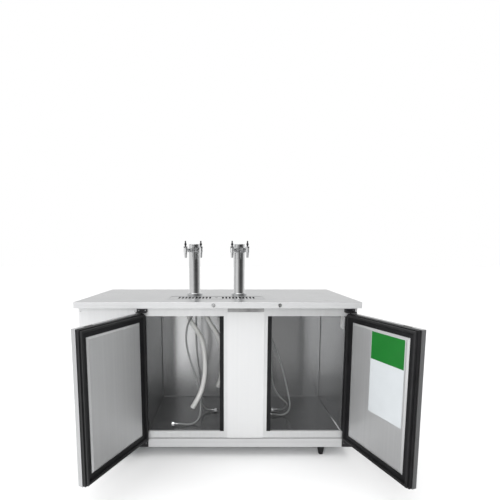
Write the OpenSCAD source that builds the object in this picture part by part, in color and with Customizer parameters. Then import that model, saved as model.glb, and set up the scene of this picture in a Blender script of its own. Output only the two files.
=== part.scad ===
// Direct draw keg cooler: a two-door cabinet with a machine bay, a draining counter and two draft towers.
// The frame: X to the right, Y to the back, Z up, the floor at Z = 0, the counter centred on X = 0, Y = 0.

/* [Cabinet] */
// Width of the counter
counter_w = 1722; // [1700:1:1800]
// Depth of the counter
counter_d = 760; // [750:1:800]
// Height of the counter top above the floor
counter_h = 1021; // [1015:1:1060]
// Height of the counter's folded edge
apron_h = 37; // [34:1:40]
// Thickness of the counter sheet
counter_t = 2; // [1.5:0.1:2.5]
// How far the counter reaches past the cabinet front
overhang = 70; // [69:1:76]
// Thickness of the cabinet sheets
sheet_t = 1.2; // [0.8:0.1:1.5]
// Thickness of the face frame sheet
frame_t = 1.5; // [1:0.1:2]
// Height of the feet
foot_h = 72; // [66:1:76]
// Distance of the feet from the cabinet's sides
foot_in = 185; // [170:1:200]
// Distance of the front feet from the face frame
foot_front = 50; // [40:1:60]
// Distance of the rear feet from the back panel
foot_back = 75; // [60:1:90]
// Clear width of the machine bay
bay_w = 345.6; // [340:0.1:360]
// Thickness of the machine bay wall foam
wall_foam = 54; // [48:1:58]
// Thickness of the right wall foam
right_foam = 55.6; // [50:0.1:60]
// Thickness of the floor foam
floor_foam = 80; // [70:1:88]
// Thickness of the back wall foam
back_foam = 64; // [60:1:70]

/* [Front] */
// Height from the top of the door openings to the counter's top
header_h = 96; // [90:1:110]
// Height of the sill's top edge above the base
sill_up = 107; // [105:1:112]
// Height of the base rail
rail_h = 57; // [52:1:58]
// Height of the gap between the base rail and the face frame
groove_h = 6; // [5:1:12]
// Clear width of the post between the doors
post_w = 322; // [310:1:326]
// Depth of the post between the doors
post_d = 62; // [50:1:70]
// Width of the black strip on each side of the post
strip_w = 25; // [20:1:28]
// Width of the black strip at each outer jamb
jamb_w = 12; // [11:0.5:13]
// Width of the cover plate on the post
cover_w = 232; // [220:1:236]
// Thickness of the cover plate on the post
cover_t = 3; // [2:0.1:5]

/* [Doors] */
// How far each door reaches past its opening, post side
free_lap = 37; // [33:1:38]
// How far each door reaches past its opening, top side
door_lap = 22; // [20:1:24]
// Gap between a door and the base rail
door_gap = 2; // [1.5:0.1:3]
// Depth of the door's steel skin
skin_d = 27.7; // [24:0.1:28]
// Thickness of the door's black inner ring
ring_t = 18; // [16:0.5:20]
// Width of the door's black inner ring
ring_w = 46; // [42:1:50]
// Thickness of the door gasket
gasket_t = 13.4; // [11:0.1:13.6]
// Width of the door gasket
gasket_w = 13; // [10:1:14]
// How far each hinge pin stands outside its opening
pivot_out = 17; // [16:0.5:18]
// Distance of the hinge pins in front of the face frame
pivot_fore = 26; // [25.8:0.1:26.4]
// Radius of the hinge pins
hinge_pin_r = 4; // [3:0.1:4.5]
// Distance of the locks from the doors' free edges
lock_in = 74; // [66:1:80]
// Radius of the lock barrels
lock_r = 9.5; // [8:0.1:10.5]
// How far the left door stands open
left_open = 114.3; // [90:0.1:114.3]
// How far the right door stands open
right_open = 109.6; // [90:0.1:114.3]

/* [Towers] */
// Distance between the towers
tower_gap = 305; // [290:1:320]
// Diameter of the tower columns
tower_dia = 76.2; // [74:0.2:80]
// Height of the towers above the counter
tower_h = 350; // [335:1:380]
// Thickness of the tower wall
tower_t = 2; // [1:0.1:2.5]
// Diameter of the tower flange
flange_dia = 104; // [101:1:110]
// Height of the tower flange
flange_t = 16; // [8:0.5:18]
// Distance of the tower axes from the counter's front edge
tower_back = 355; // [350:1:365]
// Centre of the towers and the tray from the counter's centre
service_x = -12; // [-16:1:-6]
// Height of the faucet shanks above the counter
shank_up = 309; // [290:1:312]
// Angle between each faucet and straight forward
faucet_turn = 26.6; // [26:0.2:30]
// Distance of the spouts from the tower axis
faucet_reach = 112; // [106:1:120]
// Radius of the faucet shanks
shank_r = 11; // [10:0.1:11.4]
// Radius of the threaded stud on each faucet lever
stud_r = 4.76; // [4:0.01:5]
// Length of the threaded stud on each faucet lever
stud_l = 16; // [12:1:20]

/* [Drip tray] */
// Width of the tray's rim
tray_w = 626; // [600:1:640]
// Depth of the tray's rim from front to back
tray_d = 150; // [140:1:152]
// Distance of the tray's centre from the counter's front edge
tray_back = 221; // [216:1:222]
// Depth of the tray's basin below the grate
basin_h = 22; // [16:1:26]
// Length of the grate slots
slot_l = 82; // [70:1:98]
// Width of the grate slots
slot_w = 12; // [6:0.5:13]
// Distance from the grate's centre to the first slot on each side
slot_first = 42.2; // [38:0.1:48]
// Distance between the grate slots
slot_pitch = 22.2; // [18:0.1:22.6]
// Radius of the drain spigots
spigot_r = 8; // [7:0.1:9]

/* [Lines] */
// Diameter of the beer lines
line_dia = 12.7; // [9:0.1:13]
// Diameter of the cold air hoses
hose_dia = 32; // [22:0.5:33]

/* [Cooling] */
// Width of the evaporator housing
evap_w = 320; // [290:1:330]
// Height of the evaporator housing
evap_h = 230; // [210:1:240]
// Depth of the evaporator housing
evap_d = 150; // [145:1:170]
// Radius of the condenser fan
fan_r = 112; // [95:1:114]
// Radius of the compressor shell
shell_r = 95; // [80:1:100]
// Height of the compressor shell
shell_h = 220; // [200:1:230]

/* [Hidden] */
$fn = 48;

// Clearances that the fits are made from
pin_clear = 0.05;
free_clear = 0.5;
side_gap = 1;
gasket_gap = 0.6;

// The cabinet's main planes
front_y = -counter_d / 2;
back_y = counter_d / 2;
frame_y = front_y + overhang;
half_w = counter_w / 2 - counter_t - side_gap;
body_back = back_y - counter_t - side_gap;
base_z = foot_h;
base_t = 2;
base_top = base_z + base_t;
under_top = counter_h - counter_t;
foot_r = 15;
foot_neck_r = 26;
foot_plate_r = 30;
foot_plate_t = 8;
apron_z = counter_h - apron_h;
rail_top = base_z + rail_h;
sill_z = rail_top + groove_h;
opening_z = base_z + sill_up;
opening_top = counter_h - header_h;

// The keg room inside the liner
room_lap = 10;
room_left = -half_w + bay_w + 2 * sheet_t + wall_foam;
room_right = half_w - 2 * sheet_t - right_foam;
post_x = (room_left + room_right) / 2;
opening_w = (room_right - room_left - post_w) / 2 - room_lap;
room_floor = base_top + floor_foam + sheet_t;
room_ceiling = opening_top + 5;
room_back = body_back - 2 * sheet_t - back_foam;
room_front = frame_y + 14;
bay_right = room_left - 2 * sheet_t - wall_foam;
panel_edge = bay_right + 12;
low_front = frame_y + 22;
bay_x = (bay_right - half_w) / 2;

// The edges of the openings
post_l = post_x - post_w / 2;
post_r = post_x + post_w / 2;
jamb_l = post_l - opening_w;
jamb_r = post_r + opening_w;

// The doors in their own frame: u away from the hinge, v towards the cabinet
hinge_x_l = jamb_l - pivot_out;
hinge_x_r = jamb_r + pivot_out;
hinge_y = frame_y - pivot_fore;
door_edge = 12;
door_far = opening_w + pivot_out + free_lap;
door_z = rail_top + door_gap;
door_top = opening_top + door_lap;
gasket_v = pivot_fore - gasket_gap - gasket_t;
ring_v = gasket_v - ring_t;
skin_v = ring_v - skin_d;
ring_in = 3;
skin_t = 1.2;
lip = 8;
pull_h = 150;

// The locks
lock_u = door_far - lock_in;
lock_z = counter_h - 19;
cam_w = 14;
cam_t = 3;
lock_y = front_y + 30;
cam_reach = lock_z - door_top + 8;

// The towers
tower_r = tower_dia / 2;
tower_y = front_y + tower_back;
shank_z = counter_h + shank_up;
throat_r = 28;
throat_z = room_ceiling - 5;
tail_reach = 19;
shank_in = 27;
collar_r = 16;
coupling_r = 15;
coupling_x = 50;
coupling_l = 18;
spout_drop = 50;
spout_l = 38;
shank_out = 60;
riser_x = tail_reach * sin(faucet_turn);
riser_y = -tail_reach * cos(faucet_turn);
tail_drop = 22;
stop_up = 17;
screw_pcd = tower_r + (flange_dia / 2 - tower_r) / 2;

// The tray
tray_y = front_y + tray_back;
tray_in_w = tray_w - 22;
tray_in_d = tray_d - 22;
basin_w = tray_in_w - 16;
basin_d = tray_in_d - 16;
grate_t = 2.5;
ledge_z = counter_h - 3;
basin_z = ledge_z - basin_h;
drain_z = room_ceiling + 15;
spigot_end = back_y + 22;
spigot_start = body_back - 8;

// The ducts that feed cold air to the towers
duct_r = hose_dia / 2 + 1.5;
duct_z = room_ceiling + 45;
duct_y = tower_y - 5;
duct_x = [service_x - tower_gap / 2 - 51.5, service_x - 79];

// The cooling unit
evap_x = post_x + 30;
evap_y = room_back - evap_d;
evap_z = room_ceiling - evap_h;
evap_fan_z = room_ceiling - evap_h / 2;
coil_top = 440;
coil_low = 120;
coil_w = 285;
coil_y = frame_y + 22;
coil_d = 46;
fan_z = 280;
fan_y = coil_y + coil_d + 35;
fan_shaft_r = 4;
fan_shaft_l = 85;
motor_from = 52;
motor_l = 52;
shell_y = 90;
mount_h = 20;
mount_r = 13;
mount_x = 92;
mount_y = 66;
shell_plate_w = 210;
shell_plate_d = 160;
shell_plate_t = 6;
shell_low = base_top + mount_h + shell_plate_t;
shell_high = shell_low + shell_h;
shell_foot = 18;
dome = [[0, 56], [14, 26], [45, 6]];
suction_stub = 105;
suction_stub_z = shell_high - 80;
discharge_y = shell_y - 55;
discharge_z = shell_high + 16;
outlet_z = coil_low + 30;
outlet_stub = 4;
drier_y = 60;
lines_y = room_back + sheet_t + back_foam / 2 + 2;
suction_z = room_ceiling - 50;
liquid_z = room_ceiling - 80;
suction_r = 6;
liquid_r = 4;
wet_x = evap_x - evap_w / 2 + 48;
knob_x = panel_edge - 60;
knob_z = room_ceiling - 130;
knob_shaft_r = 3;

// The routes of the free lines: offsets in X and Y from where each leaves the ceiling, and the height
// in a room that runs from 155 to 930
route_1 = [[0, 0, 925], [0, 0, 908], [-4, -4, 890], [-15, -12, 868], [-30, -21, 844], [-42, -30, 814],
    [-48, -38, 775], [-50, -45, 730], [-46, -52, 680], [-28, -60, 604], [-1, -68, 516], [25, -74, 439],
    [42, -83, 358], [50, -92, 280], [49, -102, 224], [39, -114, 190], [17, -127, 168], [-13, -139, 162],
    [-44, -149, 165], [-69, -152, 170], [-83, -152, 171], [-97, -152, 171]];
route_2 = [[0, 0, 925], [0, 0, 906], [0, 3, 882], [-1, 14, 850], [-2, 28, 816], [-3, 38, 780],
    [-4, 44, 742], [-4, 48, 700], [1, 54, 592], [11, 60, 505], [21, 64, 430], [27, 67, 365], [29, 68, 312],
    [29, 68, 268], [29, 68, 231], [34, 68, 203], [48, 67, 184], [66, 67, 174], [82, 67, 171],
    [96, 67, 171]];
route_3 = [[0, 0, 925], [0, 0, 906], [2, 0, 884], [13, -2, 856], [42, -7, 821], [90, -11, 792],
    [146, -14, 772], [194, -17, 750], [224, -18, 712], [250, -18, 640], [280, -18, 560], [308, -14, 461],
    [336, -10, 345], [354, -6, 266], [356, -3, 220], [346, 0, 188], [324, 1, 169], [296, -1, 162],
    [270, -4, 166], [248, -6, 171], [236, -6, 171], [226, -6, 171]];
route_4 = [[0, 0, 925], [0, 0, 906], [2, 0, 883], [12, 2, 851], [42, 6, 808], [96, 8, 768], [158, 4, 736],
    [206, -2, 704], [232, -5, 655], [238, -1, 595], [238, 2, 528], [242, 6, 440], [250, 5, 386],
    [267, 2, 341], [296, 4, 300], [329, 12, 267], [352, 24, 243], [361, 37, 223], [359, 50, 204],
    [347, 62, 187], [329, 69, 176], [309, 72, 171], [294, 72, 171]];
air_1 = [[0, 0, 925], [0, 0, 913], [2, 0, 895], [8, -1, 872], [20, -3, 845], [37, -8, 817], [60, -16, 784],
    [84, -28, 749], [103, -42, 710], [114, -56, 661], [121, -70, 599], [124, -84, 540], [122, -102, 487],
    [114, -120, 436], [99, -130, 384], [78, -133, 337], [53, -131, 293], [40, -129, 271]];
air_2 = [[0, 0, 925], [0, 0, 913], [2, 0, 895], [8, -1, 872], [20, -3, 845], [37, -6, 817], [60, -9, 784],
    [84, -12, 744], [102, -14, 698], [112, -14, 643], [117, -10, 565], [116, -4, 500], [109, 2, 445],
    [97, 8, 398], [83, 12, 365]];

// Shapes and routes used by many pieces
module block(x0, x1, y0, y1, z0, z1) {
    translate([x0, y0, z0]) cube([x1 - x0, y1 - y0, z1 - z0]);
}

module rod_z(x, y, z0, z1, r) {
    translate([x, y, z0]) cylinder(h = z1 - z0, r = r);
}

module rod_y(x, y0, y1, z, r) {
    translate([x, y0, z]) rotate([-90, 0, 0]) cylinder(h = y1 - y0, r = r);
}

module rod_x(x0, x1, y, z, r) {
    translate([x0, y, z]) rotate([0, 90, 0]) cylinder(h = x1 - x0, r = r);
}

module round_plate(w, d, r, z0, z1) {
    translate([0, 0, z0]) linear_extrude(height = z1 - z0) union() {
        square([w - 2 * r, d], center = true);
        square([w, d - 2 * r], center = true);
        for (sx = [-1, 1]) for (sy = [-1, 1]) translate([sx * (w / 2 - r), sy * (d / 2 - r)]) circle(r = r);
    }
}

function unit(v) = v / norm(v);
function cube_of(t) = t * t * t;
function hump(t) = 4 - 6 * t * t + 3 * cube_of(t);
function spline(a, b, c, d, t) = (cube_of(1 - t) * a + hump(t) * b + hump(1 - t) * c + cube_of(t) * d) / 6;
function at(p, i) = i < 0 ? 2 * p[0] - p[1] : i < len(p) ? p[i] : 2 * p[len(p) - 1] - p[len(p) - 2];
function smooth(p, n) = concat([for (i = [0 : len(p) - 2]) for (k = [0 : n - 1])
    spline(at(p, i - 1), at(p, i), at(p, i + 1), at(p, i + 2), k / n)], [p[len(p) - 1]]);
function corner(a, p, b, r, n) = let (s = p + unit(a - p) * r, e = p + unit(b - p) * r)
    [for (k = [0 : n]) let (t = k / n) (1 - t) * (1 - t) * s + 2 * t * (1 - t) * p + t * t * e];
function bent(p, r) = concat([p[0]], [for (i = [1 : len(p) - 2]) each corner(p[i - 1], p[i], p[i + 1], r, 6)],
    [p[len(p) - 1]]);
function course(q, i) = i == 0 ? unit(q[1] - q[0]) : i == len(q) - 1 ? unit(q[i] - q[i - 1])
    : unit(unit(q[i + 1] - q[i]) + unit(q[i] - q[i - 1]));
function ring(c, t, side, r, n) = let (a = unit(cross(side, t)), b = cross(t, a))
    [for (k = [0 : n - 1]) c + r * (cos(360 * k / n) * a + sin(360 * k / n) * b)];
function room_z(z) = room_floor + (z - 155) * (room_ceiling - room_floor) / 775;
function placed(route, start) = [for (p = route) [start[0] + p[0], start[1] + p[1], room_z(p[2])]];

module swept(q, r, side, n) {
    m = len(q);
    points = [for (i = [0 : m - 1]) each ring(q[i], course(q, i), side, r, n)];
    first = [[for (k = [0 : n - 1]) k]];
    last = [[for (k = [0 : n - 1]) (m - 1) * n + n - 1 - k]];
    left = [for (i = [0 : m - 2]) for (k = [0 : n - 1])
        [i * n + k, (i + 1) * n + k, (i + 1) * n + (k + 1) % n]];
    right = [for (i = [0 : m - 2]) for (k = [0 : n - 1])
        [i * n + k, (i + 1) * n + (k + 1) % n, i * n + (k + 1) % n]];
    polyhedron(points = points, faces = concat(first, left, right, last));
}

// Where the towers, faucets and lines stand
function tower_x(i) = service_x + (i == 0 ? -1 : 1) * tower_gap / 2;
function faucet_side(k) = k % 2 == 0 ? -1 : 1;
function faucet_tower(k) = k < 2 ? 0 : 1;
function riser_at(k) = [tower_x(faucet_tower(k)) + faucet_side(k) * riser_x, tower_y + riser_y];
function line_start(k) = [riser_at(k)[0], riser_at(k)[1], throat_z];
function duct_start(k) = [duct_x[k], duct_y, throat_z];

module each_tower() {
    for (i = [0, 1]) translate([tower_x(i), tower_y, 0]) children();
}

module at_faucet(k) {
    translate([tower_x(faucet_tower(k)), tower_y, shank_z])
        rotate([0, 0, -90 + faucet_side(k) * faucet_turn]) children();
}

// The base, the panels and the insulated room
module base_pan() color("silver") block(-half_w, half_w, frame_y + frame_t, body_back, base_z, base_top);

module base_rail() color("gainsboro") union() {
    block(-half_w, half_w, frame_y, frame_y + frame_t, base_z, rail_top);
    block(-half_w + sheet_t + 1, half_w - sheet_t - 1, frame_y + frame_t / 2, frame_y + 16,
        rail_top - frame_t, rail_top);
}

module body_panels() color("gainsboro") {
    for (s = [-1, 1])
        block(s < 0 ? -half_w : half_w - sheet_t, s < 0 ? -half_w + sheet_t : half_w,
            frame_y + frame_t, body_back - sheet_t, base_top, under_top);
    difference() {
        block(bay_right, bay_right + sheet_t, low_front, body_back - sheet_t, base_top, under_top);
        rod_x(bay_right - 5, bay_right + 5, lines_y, suction_z, suction_r + 2);
        rod_x(bay_right - 5, bay_right + 5, lines_y, liquid_z, liquid_r + 2);
    }
}

module back_panel() color("silver") difference() {
    block(-half_w, half_w, body_back - sheet_t, body_back, base_top, under_top);
    rod_y(service_x, body_back - 9, body_back + 9, drain_z, spigot_r + free_clear);
    rod_y(evap_x, body_back - 9, body_back + 9, evap_z - 25, spigot_r + free_clear);
    rod_y(-half_w + 60, body_back - 9, body_back + 9, base_top + 60, 10);
    for (i = [0 : 11])
        block(bay_x - 110, bay_x + 110, body_back - 9, body_back + 9, 250 + i * 26, 260 + i * 26);
}

module insulation() color("khaki") difference() {
    block(bay_right + sheet_t, half_w - sheet_t, frame_y + frame_t, body_back - sheet_t, base_top, under_top);
    block(room_left - sheet_t, room_right + sheet_t, room_front - 0.5, room_back + sheet_t,
        room_floor - sheet_t, room_ceiling + sheet_t);
    block(jamb_l - jamb_w, jamb_r + jamb_w, frame_y - 1, room_front,
        opening_z - sheet_t, opening_top + sheet_t);
    block(bay_right, half_w, frame_y, low_front, base_z, sill_z);
    each_tower() rod_z(0, 0, room_ceiling, counter_h, throat_r + free_clear);
    each_tower() for (a = [45 : 90 : 315]) rotate([0, 0, a])
        rod_z(screw_pcd, 0, under_top - 14, counter_h, 3.2);
    for (k = [0, 1]) rod_z(duct_x[k], duct_y, room_ceiling, duct_z + duct_r + 2, duct_r + free_clear);
    for (k = [0, 1]) rod_x(duct_x[k], tower_x(k), duct_y, duct_z, duct_r + free_clear);
    block(service_x - basin_w / 2 - 3, service_x + basin_w / 2 + 3, tray_y - basin_d / 2 - 3,
        tray_y + basin_d / 2 + 3, basin_z - 3, counter_h);
    block(service_x - tray_in_w / 2 - 3, service_x + tray_in_w / 2 + 3, tray_y - tray_in_d / 2 - 3,
        tray_y + tray_in_d / 2 + 3, ledge_z - 3, counter_h);
    block(service_x - spigot_r - 2, service_x + spigot_r + 2, tray_y - spigot_r - 2, body_back,
        drain_z - spigot_r - 2, drain_z + spigot_r + 2);
    block(service_x - spigot_r - 2, service_x + spigot_r + 2, tray_y - spigot_r - 2, tray_y + spigot_r + 30,
        drain_z - spigot_r - 2, basin_z);
    block(evap_x - spigot_r - 2, evap_x + spigot_r + 2, room_back, body_back,
        evap_z - 27 - spigot_r, evap_z - 23 + spigot_r);
    block(bay_right, wet_x + 9, lines_y - 9, lines_y + 9, suction_z - 9, suction_z + 9);
    block(wet_x - 9, wet_x + 9, room_back, lines_y + 9, suction_z - 9, suction_z + 9);
    block(bay_right, wet_x + 37, lines_y - 7, lines_y + 7, liquid_z - 7, liquid_z + 7);
    block(wet_x + 23, wet_x + 37, room_back, lines_y + 7, liquid_z - 7, liquid_z + 7);
}

module liner() color("lightgray") difference() {
    block(room_left - sheet_t, room_right + sheet_t, room_front, room_back + sheet_t,
        room_floor - sheet_t, room_ceiling + sheet_t);
    block(room_left, room_right, room_front - 1, room_back, room_floor, room_ceiling);
    each_tower() rod_z(0, 0, room_ceiling - 9, room_ceiling + 9, throat_r + free_clear);
    for (k = [0, 1]) rod_z(duct_x[k], duct_y, room_ceiling - 9, room_ceiling + 9, duct_r + free_clear);
    rod_y(wet_x, room_back - 9, room_back + 9, suction_z, suction_r + 2);
    rod_y(wet_x + 30, room_back - 9, room_back + 9, liquid_z, liquid_r + 2);
    rod_y(evap_x, room_back - 9, room_back + 9, evap_z - 25, spigot_r + 1);
}

module face_frame() color("gainsboro") union() {
    difference() {
        block(panel_edge, half_w, frame_y, frame_y + frame_t, sill_z, under_top);
        block(jamb_l - jamb_w, post_l + strip_w, frame_y - 1, frame_y + 5, opening_z, opening_top);
        block(post_r - strip_w, jamb_r + jamb_w, frame_y - 1, frame_y + 5, opening_z, opening_top);
    }
    block(jamb_l - jamb_w, jamb_r + jamb_w, frame_y + frame_t / 2, room_front - 0.5,
        opening_top, opening_top + sheet_t);
    block(jamb_l - jamb_w, jamb_r + jamb_w, frame_y + frame_t / 2, room_front - 0.5,
        opening_z - sheet_t, opening_z);
}

module breaker_posts() color("black") {
    union() {
        block(post_l, post_r, frame_y + frame_t, room_front + 1, opening_z, opening_top);
        block(post_l, post_r, room_front, room_front + post_d - 12, room_floor, room_ceiling);
        block(post_l, post_l + strip_w, frame_y, room_front, opening_z, opening_top);
        block(post_r - strip_w, post_r, frame_y, room_front, opening_z, opening_top);
    }
    block(jamb_l - jamb_w, jamb_l, frame_y, room_front, opening_z, opening_top);
    block(jamb_r, jamb_r + jamb_w, frame_y, room_front, opening_z, opening_top);
}

module post_cover() color("white") block(post_x - cover_w / 2, post_x + cover_w / 2,
    frame_y - cover_t, frame_y, sill_z, door_top + 3);

module machine_panel() color("gainsboro") difference() {
    union() {
        block(-half_w, panel_edge, frame_y, frame_y + frame_t, sill_z, under_top);
        for (i = [0 : 14]) translate([bay_x - 115, frame_y + 0.4, 250 + i * 32 + 14]) rotate([-40, 0, 0])
            translate([0, -9, 0]) cube([230, 9.5, 1.2]);
    }
    for (i = [0 : 14])
        block(bay_x - 112, bay_x + 112, frame_y - 0.1, frame_y + 9, 250 + i * 32, 262 + i * 32);
    rod_y(knob_x, frame_y - 9, frame_y + 9, knob_z, knob_shaft_r + free_clear);
}

// The counter, the tray and the drains
module counter_top() color("silver") difference() {
    block(-counter_w / 2, counter_w / 2, front_y, back_y, apron_z, counter_h);
    block(-counter_w / 2 + counter_t, counter_w / 2 - counter_t, front_y + counter_t, back_y - counter_t,
        apron_z - 1, under_top);
    each_tower() rod_z(0, 0, under_top - 9, counter_h + 9, throat_r + free_clear);
    each_tower() for (a = [45 : 90 : 315]) rotate([0, 0, a])
        rod_z(screw_pcd, 0, under_top - 9, counter_h + 9, 2.7);
    translate([service_x, tray_y, 0])
        round_plate(tray_in_w + 5, tray_in_d + 5, 14, under_top - 9, counter_h + 9);
    for (x = [hinge_x_l + lock_u, hinge_x_r - lock_u])
        rod_y(x, front_y - 9, front_y + 9, lock_z, lock_r + pin_clear);
}

module drip_tray() color("silver") translate([service_x, tray_y, 0]) difference() {
    union() {
        round_plate(tray_w, tray_d, 16, counter_h, counter_h + 1.2);
        round_plate(tray_in_w + 2.4, tray_in_d + 2.4, 12.6, ledge_z - 1.2, counter_h + 0.6);
        round_plate(basin_w + 2.4, basin_d + 2.4, 11.2, basin_z - 1.2, ledge_z);
        rod_z(0, 0, basin_z - 16, basin_z, spigot_r);
    }
    round_plate(tray_in_w, tray_in_d, 11.4, ledge_z, counter_h + 9);
    round_plate(basin_w, basin_d, 10, basin_z, ledge_z + 1);
    rod_z(0, 0, basin_z - 20, basin_z + 1, spigot_r - 2);
}

module drip_grate() color("gainsboro") translate([service_x, tray_y, 0]) difference() {
    round_plate(tray_in_w - 2 * free_clear, tray_in_d - 2 * free_clear, 11, ledge_z, ledge_z + grate_t);
    for (s = [-1, 1]) for (i = [0 : 9]) translate([s * (slot_first + i * slot_pitch), 0, 0])
        round_plate(slot_w, slot_l, slot_w / 2 - 0.1, ledge_z - 1, ledge_z + grate_t + 1);
    rod_z(0, 0, ledge_z - 1, ledge_z + grate_t + 1, 9);
}

module drain_tubes() color("dimgray") {
    swept(bent([[service_x, tray_y, basin_z - 16], [service_x, tray_y, drain_z],
        [service_x, spigot_start, drain_z]], 24), spigot_r, [1, 0, 0], 12);
    swept(bent([[evap_x, room_back - 30, evap_z], [evap_x, room_back - 30, evap_z - 25],
        [evap_x, spigot_start, evap_z - 25]], 16), spigot_r, [1, 0, 0], 12);
    for (p = [[service_x, drain_z], [evap_x, evap_z - 25]]) difference() {
        union() {
            rod_y(p[0], spigot_start, spigot_end - 1, p[1], spigot_r - 0.5);
            rod_y(p[0], body_back, spigot_end, p[1], spigot_r);
        }
        rod_y(p[0], spigot_start - 1, spigot_end + 1, p[1], spigot_r - 2);
    }
}

module feet() color("black") for (x = [foot_in - half_w, half_w - foot_in])
    for (y = [frame_y + foot_front, body_back - foot_back]) translate([x, y, 0]) union() {
        cylinder(h = base_z - foot_plate_t, r1 = foot_r, r2 = foot_neck_r);
        translate([0, 0, base_z - foot_plate_t]) cylinder(h = foot_plate_t, r = foot_plate_r);
    }

// The hinges and the locks
module hinge_bracket_pair() {
    union() {
        block(-36, 30, -12, pivot_fore - 4, door_top + 3, door_top + 8);
        block(-36, 30, pivot_fore - 4, pivot_fore, door_top + 3, door_top + 23);
        rod_z(0, 0, door_top - 22, door_top + 5, hinge_pin_r);
    }
    union() {
        block(-50, 14, -12, pivot_fore - 4, door_z - 8, door_z - 3);
        block(-50, 14, pivot_fore - 4, pivot_fore, base_z + 2, door_z - 3);
        rod_z(0, 0, door_z - 5, door_z + 24, hinge_pin_r);
    }
}

module hinge_brackets() color("black") {
    translate([hinge_x_l, hinge_y, 0]) hinge_bracket_pair();
    translate([hinge_x_r, hinge_y, 0]) mirror([1, 0, 0]) hinge_bracket_pair();
}

module lock_barrels() color("silver") for (x = [hinge_x_l + lock_u, hinge_x_r - lock_u]) difference() {
    union() {
        rod_y(x, front_y - 3, front_y, lock_z, lock_r + 2);
        rod_y(x, front_y - 1, lock_y - 4, lock_z, lock_r);
        rod_y(x, front_y + counter_t, front_y + counter_t + 4, lock_z, lock_r + 4);
    }
    rod_y(x, front_y - 9, lock_y, lock_z, 6 + pin_clear);
}

module lock_plug(x, s) difference() {
    union() {
        rod_y(x, front_y - 3.4, lock_y + cam_t, lock_z, 6);
        rod_y(x, lock_y, lock_y + cam_t, lock_z, cam_w / 2);
        block(s > 0 ? x : x - cam_reach, s > 0 ? x + cam_reach : x, lock_y, lock_y + cam_t,
            lock_z - cam_w / 2 + 1, lock_z + cam_w / 2 - 1);
    }
    block(x - 0.8, x + 0.8, front_y - 9, front_y + 8, lock_z - 3.6, lock_z + 3.6);
}

module lock_plug_left() color("dimgray") lock_plug(hinge_x_l + lock_u, -1);

module lock_plug_right() color("dimgray") lock_plug(hinge_x_r - lock_u, 1);

// The towers and the faucets
module tower_columns() color("white") for (i = [0, 1]) difference() {
    translate([tower_x(i), tower_y, 0]) union() {
        rod_z(0, 0, counter_h, counter_h + flange_t, flange_dia / 2);
        rod_z(0, 0, counter_h, counter_h + tower_h - 4, tower_r);
    }
    translate([tower_x(i), tower_y, 0]) rod_z(0, 0, counter_h - 1, counter_h + tower_h, tower_r - tower_t);
    translate([tower_x(i), tower_y, 0]) for (a = [45 : 90 : 315]) rotate([0, 0, a])
        rod_z(screw_pcd, 0, counter_h - 1, counter_h + flange_t + 1, 2.7);
    for (k = [2 * i, 2 * i + 1]) at_faucet(k) rod_x(tail_reach, shank_out, 0, 0, shank_r + 0.1);
}

module tower_caps() color("white") each_tower() union() {
    rod_z(0, 0, counter_h + tower_h - 4, counter_h + tower_h, tower_r + 0.8);
    rod_z(0, 0, counter_h + tower_h - 12, counter_h + tower_h - 3, tower_r - tower_t - 0.2);
}

module flange_screws() color("silver") each_tower() for (a = [45 : 90 : 315]) rotate([0, 0, a]) union() {
    rod_z(screw_pcd, 0, under_top - 12, counter_h + flange_t + 1, 2.5);
    rod_z(screw_pcd, 0, counter_h + flange_t, counter_h + flange_t + 3, 4.4);
}

module tower_throats() color("dimgray") for (i = [0, 1]) difference() {
    translate([tower_x(i), tower_y, 0]) rod_z(0, 0, throat_z, counter_h + 24, throat_r);
    translate([tower_x(i), tower_y, 0]) rod_z(0, 0, throat_z + 10, counter_h + 25, throat_r - 2);
    for (k = [2 * i, 2 * i + 1])
        rod_z(riser_at(k)[0], riser_at(k)[1], throat_z - 9, throat_z + 11, line_dia / 2 + 0.1);
    rod_x(tower_x(i) - throat_r - 5, tower_x(i) - 5, duct_y, duct_z, hose_dia / 2);
}

module tower_risers() color("whitesmoke") for (k = [0 : 3])
    rod_z(riser_at(k)[0], riser_at(k)[1], throat_z, shank_z - tail_drop, line_dia / 2);

module faucet_shanks() color("silver") for (k = [0 : 3]) at_faucet(k) difference() {
    union() {
        rod_x(shank_in, shank_out, 0, 0, shank_r);
        rod_x(tail_reach, shank_in + 1, 0, 0, 4.6);
        rod_z(tail_reach, 0, -tail_drop + 8, 6.4, 6);
        rod_z(tail_reach, 0, -tail_drop, -tail_drop + 9, 4.4);
    }
    rod_x(tail_reach, shank_out + 1, 0, 0, 3.2);
    rod_z(tail_reach, 0, -tail_drop - 1, 0, 3);
}

module shank_nuts() color("silver") for (k = [0 : 3]) at_faucet(k) {
    difference() {
        rod_x(tower_r - 8, tower_r + 8, 0, 0, collar_r);
        rod_z(0, 0, -2 * collar_r, 2 * collar_r, tower_r + 0.05);
        rod_x(tail_reach, shank_out, 0, 0, shank_r + 0.1);
    }
    difference() {
        rod_x(coupling_x, coupling_x + coupling_l, 0, 0, coupling_r);
        rod_x(coupling_x - 1, coupling_x + coupling_l + 1, 0, 0, shank_r + 0.1);
    }
}

module faucet_bodies() color("gainsboro") for (k = [0 : 3]) at_faucet(k) difference() {
    union() {
        rod_x(shank_out, faucet_reach, 0, 0, shank_r);
        rod_z(faucet_reach, 0, -14, 15, 12.4);
        rod_z(faucet_reach, 0, 14, 24, 13);
        translate([faucet_reach, 0, -spout_drop]) cylinder(h = spout_l, r1 = 7.4, r2 = 10.8);
    }
    rod_x(shank_out - 1, faucet_reach, 0, 0, 3.2);
    rod_z(faucet_reach, 0, -spout_drop - 1, 9, 4.6);
    rod_z(faucet_reach, 0, stop_up - 9, 25, 8);
    block(faucet_reach, faucet_reach + 20, -5.6, 5.6, stop_up - 1, 26);
}

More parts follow.
